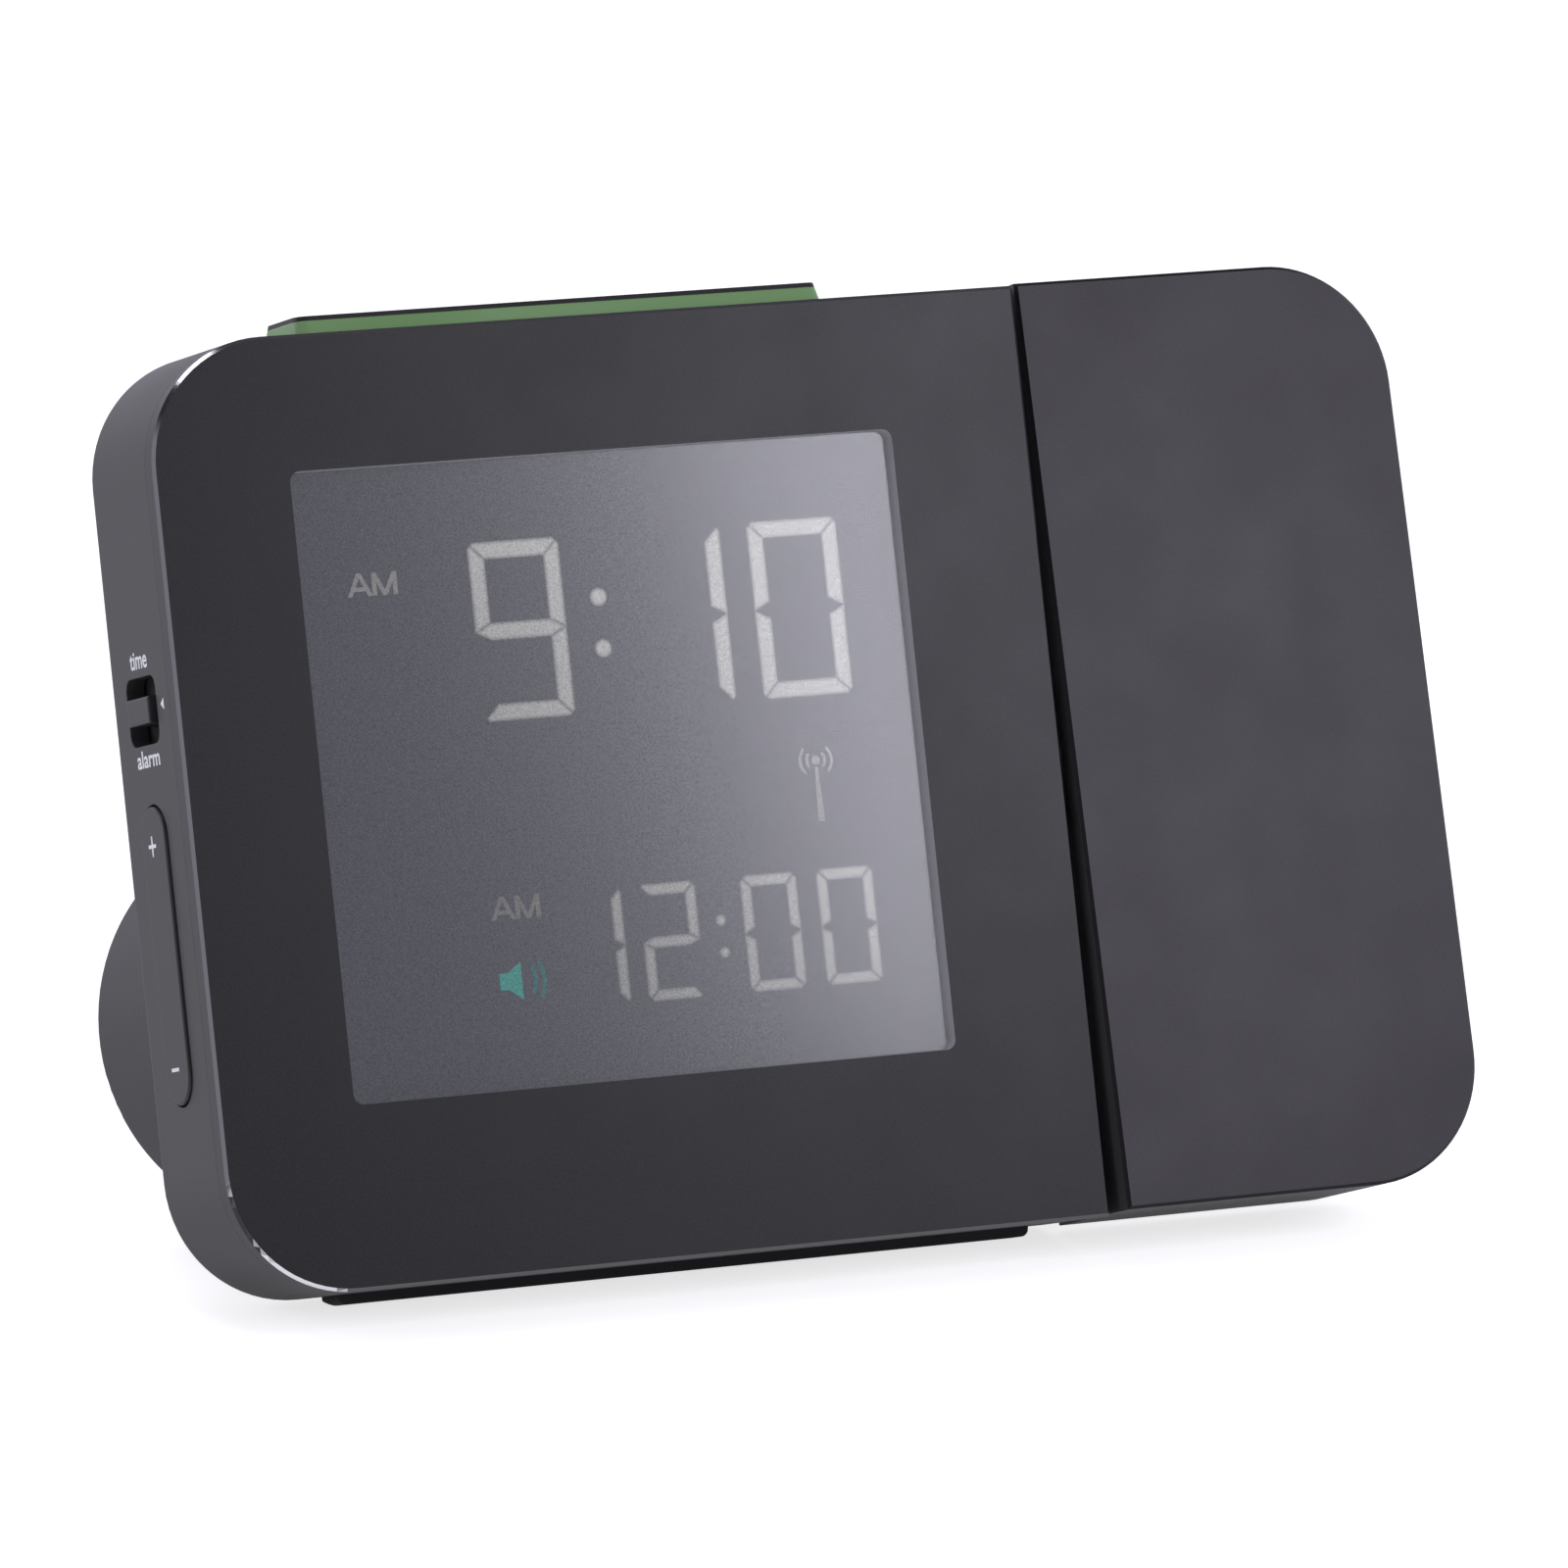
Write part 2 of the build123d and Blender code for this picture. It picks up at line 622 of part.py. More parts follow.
def mode_knob():
    """Slide knob: a finger piece, the shutter that closes the slot, and the lever behind it."""
    finger = block((-MODE_PROUD, WALL + KEY_GAP), about(SIDE_Y, MODE_KNOB_D), about(MODE_Z, MODE_KNOB_H))
    finger = fillet(edges_at(finger, Axis.X, False), ROCKER_EDGE_R)
    shutter_x = (WALL + KEY_GAP, WALL + KEY_GAP + MODE_SHUTTER_T)
    shutter = block(shutter_x, about(SIDE_Y, MODE_SHUTTER_D), about(MODE_Z, MODE_SHUTTER_H))
    lever_x = (shutter_x[1], SIDE_BOARD_X - SWITCH_H + STEM_IN)
    return finger + shutter + block(lever_x, about(SIDE_Y, MODE_FORK_D), about(MODE_Z, MODE_FORK_H))


def snooze_bar():
    """Green bar in the top wall, tapered above it, with end lips and two stems below."""
    body = extrude(Pos(0, 0, SNOOZE_LOW) * snooze_face(0), SLAB_H - SNOOZE_LOW)
    body += extrude(Pos(0, 0, SLAB_H) * snooze_face(0), SNOOZE_RISE, taper=SNOOZE_DRAFT)
    lips = block(about(WINDOW_X, SNOOZE_L + 2 * SNOOZE_LIP), about(SNOOZE_Y, SNOOZE_D - 2 * SNOOZE_R),
                 (SNOOZE_LOW, SNOOZE_LOW + SNOOZE_FLANGE))
    body += lips
    stem = SNOOZE_LOW - SNOOZE_SWITCH_TOP + STEM_IN
    for x in about(WINDOW_X, SNOOZE_STEMS):
        body += rod((x, SNOOZE_SWITCH_Y, SNOOZE_LOW), DOWN, stem, STEM_R)
    return body


def snooze_cap():
    """Black cap on top of the snooze bar."""
    step = SNOOZE_RISE * tan(radians(SNOOZE_DRAFT))
    low = SLAB_H + SNOOZE_RISE
    return extrude(Pos(0, 0, low) * snooze_face(-step), SNOOZE_CAP, taper=SNOOZE_DRAFT)


def snooze_switches():
    """The two tact switches under the snooze bar, on the back of the main board."""
    seat = SNOOZE_SWITCH_TOP - SWITCH_H
    places = about(WINDOW_X, SNOOZE_STEMS)
    return Compound([tact_switch((x, SNOOZE_SWITCH_Y, seat), UP) for x in places])


def button_switches():
    """The tact switches under the rear buttons, on the back of the main board."""
    return Compound([tact_switch((x, PCB_BACK, BUTTON_Z), BACK) for x in BUTTON_X])


def rear_button(x):
    """Round push button in the rear cover, with a flange behind it and a stem."""
    flange_y = INNER_BACK - KEY_GAP - BUTTON_FLANGE_T
    cap = rod((x, flange_y, BUTTON_Z), BACK, SLAB_T + BUTTON_PROUD - flange_y, BUTTON_R)
    cap = fillet(edges_at(cap, Axis.Y, True), BUTTON_EDGE_R)
    cap += rod((x, flange_y, BUTTON_Z), BACK, BUTTON_FLANGE_T, BUTTON_R + BUTTON_FLANGE)
    stem = flange_y - PCB_BACK - SWITCH_H + STEM_IN
    return cap + rod((x, flange_y, BUTTON_Z), FORWARD, stem, STEM_R)


def sounder():
    """Piezo sounder on the inside of the rear cover."""
    disc = rod((SOUNDER_X, INNER_BACK - SOUNDER_T, BUTTON_Z), BACK, SOUNDER_T, SOUNDER_R)
    return disc - rod((SOUNDER_X, INNER_BACK, BUTTON_Z), FORWARD, SOUNDER_T / 2, SOUNDER_R - SOUNDER_RIM)


def sound_holes():
    """The ring of sound holes in the rear cover."""
    holes = []
    for spot in PolarLocations(SOUND_RING_R, SOUND_HOLES):
        x = SOUNDER_X + spot.position.X
        holes.append(rod((x, INNER_BACK, BUTTON_Z + spot.position.Y), BACK, COVER_T, SOUND_HOLE_R))
    return holes


def door_face(gap):
    """The battery door's outline, drawn in by a gap."""
    size = (BAY_L + 2 * (DOOR_LEDGE - gap), BAY_H + 2 * (DOOR_LEDGE - gap))
    return Pos(POD_X, POD_Z) * RectangleRounded(*size, DOOR_R - gap)


def rear_cover():
    """Rear cover of the clock section, with the battery pod and its bay moulded on."""
    plate = upright(outline(0, MAIN_W, WALL + FIT, "left"), INNER_BACK, SLAB_T)
    pod = upright(pod_face(0), SLAB_T, POD_BACK)
    cover = plate + fillet(edges_at(pod, Axis.Y, True), POD_EDGE_R)
    cover -= upright(pod_face(POD_WALL), INNER_BACK, BAY_BACK)
    wall = BAY_L + 2 * BAY_WALL, BAY_H + 2 * BAY_WALL
    tray = upright(Pos(POD_X, POD_Z) * Rectangle(*wall), BAY_FLOOR - BAY_WALL, BAY_BACK)
    cover += tray
    cover -= upright(Pos(POD_X, POD_Z) * Rectangle(BAY_L, BAY_H), BAY_FLOOR, POD_BACK)
    cover -= upright(door_face(0), POD_BACK - DOOR_T, POD_BACK)
    cover -= rod((JACK_X, BAY_BACK, POD_Z), BACK, POD_WALL, JACK_BORE_R + KEY_GAP)
    for x in BOSS_X:
        for z in BOSS_Z:
            cover -= screw_way(x, z)
    for x in BUTTON_X:
        cover -= rod((x, INNER_BACK, BUTTON_Z), BACK, COVER_T, BUTTON_R + KEY_GAP)
    return cover - sound_holes()


def cover_screws():
    """Four screws that hold the rear cover."""
    return Compound([cover_screw(x, z) for x in BOSS_X for z in BOSS_Z])


def battery_cover():
    """Door of the battery bay: a plate on a ledge, two ribs that enter the bay, a thumb notch."""
    door = upright(door_face(DOOR_GAP), POD_BACK - DOOR_T, POD_BACK)
    rib_y = (BAY_BACK - DOOR_RIB, POD_BACK - DOOR_T)
    rib_z = BAY_H / 2 - DOOR_GAP
    for low, high in ((rib_z - DOOR_RIB, rib_z), (-rib_z, DOOR_RIB - rib_z)):
        door += block(about(POD_X, DOOR_RIB_L), rib_y, (POD_Z + low, POD_Z + high))
    notch = (POD_X + BAY_L / 2 - DOOR_NOTCH_R, POD_BACK - DOOR_NOTCH, POD_Z)
    return door - rod(notch, BACK, DOOR_NOTCH, DOOR_NOTCH_R)


def battery(z, nub_left):
    """An AA cell that lies across the clock, its nub to the left or the right."""
    start = BAY_X0 + CONTACT_T if nub_left else BAY_X1 - CONTACT_T
    way = RIGHT if nub_left else LEFT
    shoulder = start + CELL_NUB_L * way[0]
    nub = rod((start, CELL_Y, z), way, CELL_NUB_L, CELL_NUB_R)
    return nub + rod((shoulder, CELL_Y, z), way, CELL_L - CELL_NUB_L, CELL_D / 2)


def battery_plates():
    """Flat contacts that the cells' nubs press on."""
    left = block((BAY_X0, BAY_X0 + CONTACT_T), about(CELL_Y, CONTACT_W), about(CELL_Z[0], CONTACT_W))
    right = block((BAY_X1 - CONTACT_T, BAY_X1), about(CELL_Y, CONTACT_W), about(CELL_Z[1], CONTACT_W))
    return Compound([left, right])


def battery_springs():
    """Conical contacts that press on the cells' flat ends."""
    middle = SPRING_L / 2
    left = Pos(BAY_X0 + middle, CELL_Y, CELL_Z[1]) * Rot(0, 90, 0) * Cone(SPRING_R, SPRING_TIP_R, SPRING_L)
    right = Pos(BAY_X1 - middle, CELL_Y, CELL_Z[0]) * Rot(0, -90, 0) * Cone(SPRING_R, SPRING_TIP_R, SPRING_L)
    return Compound([left, right])


def dc_jack():
    """Low-voltage inlet in the pod's back, with its centre pin."""
    body = block(about(JACK_X, JACK), (BAY_BACK - JACK_L, BAY_BACK), about(POD_Z, JACK))
    body -= rod((JACK_X, BAY_BACK, POD_Z), FORWARD, JACK_BORE, JACK_BORE_R)
    return body + rod((JACK_X, BAY_BACK - JACK_BORE, POD_Z), BACK, JACK_BORE, JACK_PIN_R)


def front_foot():
    """Rubber strip under the slab, flat at the front, with a land at the back that lies on the table."""
    side = Polygon((FOOT_FRONT, FOOT_SINK), (FOOT_FRONT, -FOOT_DROP), (FOOT_LAND, -FOOT_DROP),
                   (FOOT_BACK, table(FOOT_BACK)), (FOOT_BACK, FOOT_SINK), align=None)
    low, high = foot_ends(0)
    strip = sideways(side, low, high)
    ends = strip.faces().filter_by(Plane.YZ).edges().sort_by(Axis.Z)
    return fillet(ends[:2], FOOT_END_R)


def rear_feet():
    """Two rubber wedges under the pod's back edge, flat on the table."""
    back = POD_BACK - POD_EDGE_R - TABLE_CLEAR
    front = back - PAD_L
    under = POD_Z - POD_R
    side = Polygon((front, under), (front, table(front)), (back, table(back)), (back, under), align=None)
    reach = (POD_L - 2 * POD_R) / 2 - PAD_INSET
    lows = (POD_X - reach, POD_X + reach - PAD_W)
    return Compound([sideways(side, low, low + PAD_W) for low in lows])


def hinge_bush():
    """Bush in the right wall that the trunnion turns in, with a flange inside."""
    start = (HINGE_BOSS_X, HINGE_Y, HINGE_Z)
    sleeve = tube(start, RIGHT, HINGE_BOSS_L + WALL, BUSH_R + BUSH_WALL, BUSH_R)
    flange = (HINGE_BOSS_X - BUSH_FLANGE_T, HINGE_Y, HINGE_Z)
    return sleeve + tube(flange, RIGHT, BUSH_FLANGE_T, HINGE_FLANGE_R, BUSH_R)


def friction_washer():
    """Spring washer that gives the head its drag."""
    start = (CLIP_X + CLIP_T, HINGE_Y, HINGE_Z)
    return tube(start, RIGHT, WASHER_T, HINGE_FLANGE_R, BUSH_R)


def trunnion():
    """Hollow trunnion: a tube through the slot, a clip groove near its end and a flange in the head."""
    end = CLIP_X - TRUNNION_END
    flange_x = HEAD_X0 + WALL
    body = rod((end, HINGE_Y, HINGE_Z), RIGHT, flange_x - end, TRUNNION_R)
    body += rod((flange_x, HINGE_Y, HINGE_Z), RIGHT, TRUNNION_FLANGE_T, TRUNNION_FLANGE_R)
    body -= tube((CLIP_X, HINGE_Y, HINGE_Z), RIGHT, CLIP_T, TRUNNION_R, TRUNNION_R - CLIP_GROOVE)
    return body - rod((end, HINGE_Y, HINGE_Z), RIGHT, flange_x + TRUNNION_FLANGE_T - end, TRUNNION_BORE)


def trunnion_clip():
    """Spring clip in the trunnion's groove."""
    ring = tube((CLIP_X, HINGE_Y, HINGE_Z), RIGHT, CLIP_T, HINGE_FLANGE_R, TRUNNION_R - CLIP_GROOVE + RUN)
    mouth = block((CLIP_X, CLIP_X + CLIP_T), about(HINGE_Y, CLIP_MOUTH), (HINGE_Z - HINGE_FLANGE_R, HINGE_Z))
    return ring - mouth


def thrust_washer():
    """Thin washer in the slot between the clock section and the head."""
    start = (MAIN_W + THRUST_PLAY, HINGE_Y, HINGE_Z)
    return tube(start, RIGHT, SLOT_W - 2 * THRUST_PLAY, THRUST_R, TRUNNION_R + FIT)


def projector_cable():
    """Cable from the main board through the trunnion to the projector's driver board."""
    return rod((PCB_X1, HINGE_Y, HINGE_Z), RIGHT, DRIVER_X - PCB_X1, CABLE_R)


def head_panel():
    """Front plate of the projector head."""
    return front_plate(HEAD_X0, HEAD_X1, "right")


def head_case():
    """Case of the projector head, closed at the front, with the trunnion's hole and the lens eye."""
    shell = upright(outline(HEAD_X0, HEAD_X1, 0, "right"), PANEL_T, SLAB_T)
    shell = fillet(edges_at(shell, Axis.Y, True), REAR_EDGE_R)
    shell -= upright(outline(HEAD_X0, HEAD_X1, WALL, "right"), HEAD_FRONT, SLAB_T)
    for x in HEAD_BOSS_X:
        for z in BOSS_Z:
            shell += boss(x, z, HEAD_FRONT)
    shell -= rod((HEAD_X0, HINGE_Y, HINGE_Z), RIGHT, WALL, TRUNNION_R + FIT)
    shell -= rod((OPTIC_X, OPTIC_Y, SLAB_H), DOWN, EYE_T, EYE_R + EYE_LEDGE + FIT)
    return shell - rod((OPTIC_X, OPTIC_Y, SLAB_H), DOWN, WALL, EYE_R)


def head_rear_cover():
    """Rear cover of the head, with the slot that the focus ring shows through."""
    cover = upright(outline(HEAD_X0, HEAD_X1, WALL + FIT, "right"), INNER_BACK, SLAB_T)
    for x in HEAD_BOSS_X:
        for z in BOSS_Z:
            cover -= screw_way(x, z)
    slot_z = (RING_Z - FOCUS_SLOT_GAP, RING_Z + RING_H + FOCUS_SLOT_GAP)
    return cover - block(about(OPTIC_X, 2 * RING_R), (INNER_BACK, SLAB_T), slot_z)


def head_screws():
    """Four screws that hold the head's rear cover."""
    return Compound([cover_screw(x, z) for x in HEAD_BOSS_X for z in BOSS_Z])


def eye_window():
    """Clear disc over the lens, flush with the head's top."""
    return rod((OPTIC_X, OPTIC_Y, SLAB_H - EYE_T), UP, EYE_T, EYE_R + EYE_LEDGE)


def shelf(top, bore):
    """A shelf of the projector frame with a round way through it."""
    depth = (HEAD_FRONT, INNER_BACK - CHEEK_BACK)
    plate = block(about(OPTIC_X, 2 * CHEEK_X), depth, (top - SHELF_T, top))
    return plate - rod((OPTIC_X, OPTIC_Y, top), DOWN, SHELF_T, bore)


def barrel_way(z0, z1):
    """The keyed way that the lens barrel slides in."""
    way = rod((OPTIC_X, OPTIC_Y, z0), UP, z1 - z0, BARREL_R + RUN)
    key = BARREL_R + BARREL_KEY + RUN
    return way + block(about(OPTIC_X, 2 * key), about(OPTIC_Y, BARREL_KEY_W + 2 * RUN), (z0, z1))


def projector_frame():
    """Frame of the projector: two cheeks with shelves for the light, the lenses and the ring."""
    depth = (HEAD_FRONT, INNER_BACK - CHEEK_BACK)
    low = SLAB_H - LED_FROM_TOP - SHELF_T
    high = RING_Z + RING_H + RING_PLAY + SHELF_T
    frame = shelf(SLAB_H - LED_FROM_TOP, LED_R)
    frame += shelf(SLAB_H - CONDENSER_FROM_TOP, LIGHT_BORE_R)
    frame += shelf(SLAB_H - MINI_LCD_FROM_TOP, LIGHT_BORE_R)
    frame += shelf(RING_Z - RING_PLAY, BARREL_R)
    frame += shelf(high, BARREL_R)
    for side in (-CHEEK_X - CHEEK_T, CHEEK_X):
        frame += block((OPTIC_X + side, OPTIC_X + side + CHEEK_T), depth, (low, high))
    return frame - barrel_way(RING_Z - RING_PLAY - SHELF_T, high)


def led_board():
    """Small board that carries the light, on the lowest shelf."""
    top = SLAB_H - LED_FROM_TOP
    return block(about(OPTIC_X, LED_BOARD_W), about(OPTIC_Y, LED_BOARD_D), (top, top + LED_BOARD_T))


def projector_led():
    """Round light with a domed top."""
    base = SLAB_H - LED_FROM_TOP + LED_BOARD_T
    dome = Pos(OPTIC_X, OPTIC_Y, base + LED_L) * Sphere(LED_R)
    keep = block(about(OPTIC_X, 2 * LED_R), about(OPTIC_Y, 2 * LED_R), (base, base + LED_L + LED_R))
    return rod((OPTIC_X, OPTIC_Y, base), UP, LED_L, LED_R) + (dome & keep)


def lens_solid(z, radius, thickness, bulge):
    """A plano-convex lens: a disc whose top is part of a ball."""
    curve = (radius * radius + bulge * bulge) / (2 * bulge)
    ball = Pos(OPTIC_X, OPTIC_Y, z + thickness - curve) * Sphere(curve)
    return rod((OPTIC_X, OPTIC_Y, z), UP, thickness, radius) & ball


def condenser_lens():
    """Lens that gathers the light, on its shelf."""
    return lens_solid(SLAB_H - CONDENSER_FROM_TOP, CONDENSER_R, CONDENSER_T, CONDENSER_BULGE)


def projector_lcd():
    """Small glass cell with the time that is projected."""
    top = SLAB_H - MINI_LCD_FROM_TOP
    return block(about(OPTIC_X, MINI_LCD_W), about(OPTIC_Y, MINI_LCD_D), (top, top + MINI_LCD_T))


def lens_barrel():
    """Barrel that slides along the light's path, keyed at both sides and bored for the lens."""
    barrel = rod((OPTIC_X, OPTIC_Y, BARREL_Z0), UP, BARREL_L, BARREL_R)
    key = BARREL_R + BARREL_KEY
    keys = block(about(OPTIC_X, 2 * key), about(OPTIC_Y, BARREL_KEY_W), (BARREL_Z0, BARREL_KEY_TOP))
    barrel += keys
    bore = BARREL_R - BARREL_WALL
    barrel -= rod((OPTIC_X, OPTIC_Y, BARREL_Z0), UP, BARREL_L, bore - LENS_LEDGE)
    return barrel - rod((OPTIC_X, OPTIC_Y, BARREL_Z1 - LENS_T), UP, LENS_T, bore)


def projection_lens():
    """Lens in the barrel's upper end."""
    radius = BARREL_R - BARREL_WALL - RUN
    return lens_solid(BARREL_Z1 - LENS_T, radius, LENS_T, LENS_BULGE)


def focus_ring():
    """Knurled ring round the barrel, whose edge shows through the head's back."""
    ring = tube((OPTIC_X, OPTIC_Y, RING_Z), UP, RING_H, RING_R, BARREL_R + RUN)
    for spot in PolarLocations(RING_R, RING_NOTCHES):
        place = (OPTIC_X + spot.position.X, OPTIC_Y + spot.position.Y, RING_Z)
        ring -= rod(place, UP, RING_H, RING_NOTCH_R)
    return ring


def driver_board():
    """Board on the frame's left cheek that drives the projector; the cable ends on it."""
    depth = (HEAD_FRONT + DRIVER_EDGE, INNER_BACK - DRIVER_EDGE)
    return block((DRIVER_X, DRIVER_X + DRIVER_T), depth, about(HINGE_Z, DRIVER_H))


CLOCK = {
    "front_panel": front_panel,
    "display_pane": display_pane,
    "lcd_cell": lcd_cell,
    "light_guide": light_guide,
    "lcd_holder": lcd_holder,
    "main_pcb": main_pcb,
    "radio_receiver": radio_receiver,
    "pcb_screws": pcb_screws,
    "antenna_rod": antenna_rod,
    "antenna_coil": antenna_coil,
    "main_case": main_case,
    "side_board": side_board,
    "rocker_switches": rocker_switches,
    "rocker_key": rocker_key,
    "mode_switch_body": mode_switch_body,
    "mode_knob": mode_knob,
    "snooze_bar": snooze_bar,
    "snooze_cap": snooze_cap,
    "snooze_switches": snooze_switches,
    "button_switches": button_switches,
    "sounder": sounder,
    "rear_cover": rear_cover,
    "cover_screws": cover_screws,
    "battery_cover": battery_cover,
    "battery_plates": battery_plates,
    "battery_springs": battery_springs,
    "dc_jack": dc_jack,
    "front_foot": front_foot,
    "rear_feet": rear_feet,
    "hinge_bush": hinge_bush,
    "friction_washer": friction_washer,
    "thrust_washer": thrust_washer,
    "projector_cable": projector_cable,
}
HEAD = {
    "trunnion": trunnion,
    "trunnion_clip": trunnion_clip,
    "head_panel": head_panel,
    "head_case": head_case,
    "head_rear_cover": head_rear_cover,
    "head_screws": head_screws,
    "eye_window": eye_window,
    "projector_frame": projector_frame,
    "led_board": led_board,
    "projector_led": projector_led,
    "condenser_lens": condenser_lens,
    "projector_lcd": projector_lcd,
    "lens_barrel": lens_barrel,
    "projection_lens": projection_lens,
    "focus_ring": focus_ring,
    "driver_board": driver_board,
}


def lean_back(shapes):
    """Where the whole clock goes: leaned back on its feet, its footprint centred on the origin."""
    leaned = Rot(-LEAN, 0, 0)
    box = Compound([leaned * shape for shape in shapes]).bounding_box()
    contact = FOOT_DROP * cos(radians(LEAN)) + FOOT_LAND * sin(radians(LEAN))
    return Pos(-box.center().X, -box.center().Y, contact) * leaned


hinge = Pos(0, HINGE_Y, HINGE_Z)
turned = hinge * Rot(-HEAD_TURN, 0, 0) * hinge.inverse()
pieces = {name: make() for name, make in CLOCK.items()}
for number, x in enumerate(BUTTON_X, start=1):
    pieces[f"rear_button_{number}"] = rear_button(x)
pieces["battery_lower"] = battery(CELL_Z[0], True)
pieces["battery_upper"] = battery(CELL_Z[1], False)
for name, make in HEAD.items():
    pieces[name] = turned * make()
placed = lean_back(pieces.values())

os.makedirs("parts", exist_ok=True)
for name, piece in pieces.items():
    export_step(placed * piece, f"parts/{name}.step")
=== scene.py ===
import json
from math import cos, pi, radians, sin

import bmesh
import bpy
from mathutils import Matrix, Vector


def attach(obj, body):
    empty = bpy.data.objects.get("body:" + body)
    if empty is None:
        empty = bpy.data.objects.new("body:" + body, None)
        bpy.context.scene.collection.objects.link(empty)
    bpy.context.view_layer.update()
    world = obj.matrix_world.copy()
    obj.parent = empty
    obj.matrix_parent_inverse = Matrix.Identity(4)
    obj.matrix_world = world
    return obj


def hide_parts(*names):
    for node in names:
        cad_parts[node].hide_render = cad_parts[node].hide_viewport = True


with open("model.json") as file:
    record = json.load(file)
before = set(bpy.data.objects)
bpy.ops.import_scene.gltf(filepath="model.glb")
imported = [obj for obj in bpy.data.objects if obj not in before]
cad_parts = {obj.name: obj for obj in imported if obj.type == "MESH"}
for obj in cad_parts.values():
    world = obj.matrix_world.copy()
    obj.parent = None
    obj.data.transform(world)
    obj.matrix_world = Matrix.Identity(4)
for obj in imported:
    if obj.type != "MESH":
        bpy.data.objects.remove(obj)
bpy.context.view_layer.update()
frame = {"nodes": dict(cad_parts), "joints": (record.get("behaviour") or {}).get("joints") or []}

# The two cases, one for the clock and one for the projector head, are moulded in black plastic with a
# fine matt grain. Each is a ring of walls between its front plate and its rear cover. Their edges are a
# little rounded, and their tone varies slightly over the walls.
MM = 0.001
CASE_BLACK = (0.037, 0.037, 0.037, 1)
CASE_PALE = (0.048, 0.048, 0.048, 1)
CLOUD_GRAINS = 40
PATCHES = (0.3, 0.7)
ROUGH_SPREAD = 0.12
EDGE_SAMPLES = 6


class Value:
    """A socket of a material's nodes: arithmetic on it adds Math nodes, and make adds any other."""

    def __init__(self, socket):
        self.socket = socket

    def make(self, kind, settings, sockets, output=0):
        """A node of this kind with its settings first, then its sockets' values or links."""
        node = self.socket.id_data.nodes.new(kind)
        for name, setting in settings.items():
            setattr(node, name, setting)
        feed(node, sockets)
        return Value(node.outputs[output])

    def maths(self, operation, first, second):
        return self.make("ShaderNodeMath", {"operation": operation}, {0: first, 1: second})

    def __add__(self, other):
        return self.maths("ADD", self, other)

    def __sub__(self, other):
        return self.maths("SUBTRACT", self, other)

    def __rsub__(self, other):
        return self.maths("SUBTRACT", other, self)

    def __mul__(self, other):
        return self.maths("MULTIPLY", self, other)

    __radd__ = __add__
    __rmul__ = __mul__


def feed(node, sockets):
    """Gives a node's inputs their numbers or links."""
    for name, value in sockets.items():
        if isinstance(value, Value):
            node.id_data.links.new(value.socket, node.inputs[name])
        else:
            node.inputs[name].default_value = value


def start(name):
    """A new material, and the place on the object, in metres, that its patterns follow."""
    material = bpy.data.materials.new(name)
    material.use_nodes = True
    coordinates = material.node_tree.nodes.new("ShaderNodeTexCoord")
    return material, Value(coordinates.outputs["Object"])


def shade(material, sockets):
    """Sets the sockets of a material's Principled shader."""
    feed(material.node_tree.nodes["Principled BSDF"], sockets)


def speckle(place, size, detail=2.0):
    """Noise about a half, with lumps of a size in millimetres."""
    sockets = {"Vector": place, "Scale": 1 / (size * MM), "Detail": detail}
    return place.make("ShaderNodeTexNoise", {}, sockets)


def between(value, low, high):
    """Zero below low, one above high, and smooth between."""
    settings = {"interpolation_type": "SMOOTHSTEP"}
    return value.make("ShaderNodeMapRange", settings, {"Value": value, "From Min": low, "From Max": high})


def mixed(mask, low, high):
    """A colour between two, by a mask."""
    return mask.make("ShaderNodeMix", {"data_type": "RGBA"}, {0: mask, 6: low, 7: high}, output=2)


def relief(place, height, depth, edge):
    """A normal with grain of a depth in millimetres, over edges rounded by a radius."""
    rounded = place.make("ShaderNodeBevel", {"samples": EDGE_SAMPLES}, {"Radius": edge * MM})
    return place.make("ShaderNodeBump", {}, {"Height": height, "Distance": depth * MM, "Normal": rounded})


def moulded(name, dark, light, grain, depth, rough, edge, specular):
    """Moulded plastic: grain of a size and depth, a roughness that varies, and soft edges."""
    material, place = start(name)
    cloud = speckle(place, CLOUD_GRAINS * grain)
    shade(material, {
        "Base Color": mixed(between(cloud, *PATCHES), dark, light),
        "Roughness": cloud * ROUGH_SPREAD + (rough - ROUGH_SPREAD / 2),
        "Specular IOR Level": specular,
        "Normal": relief(place, speckle(place, grain), depth, edge),
    })
    return material


def dress(material, *nodes):
    """Gives CAD nodes their finish."""
    for node in nodes:
        slots = frame["nodes"][node].data.materials
        slots.clear()
        slots.append(material)


dress(moulded("case_black", CASE_BLACK, CASE_PALE, grain=0.3, depth=0.012, rough=0.46, edge=0.2,
              specular=0.5), "main_case", "head_case")

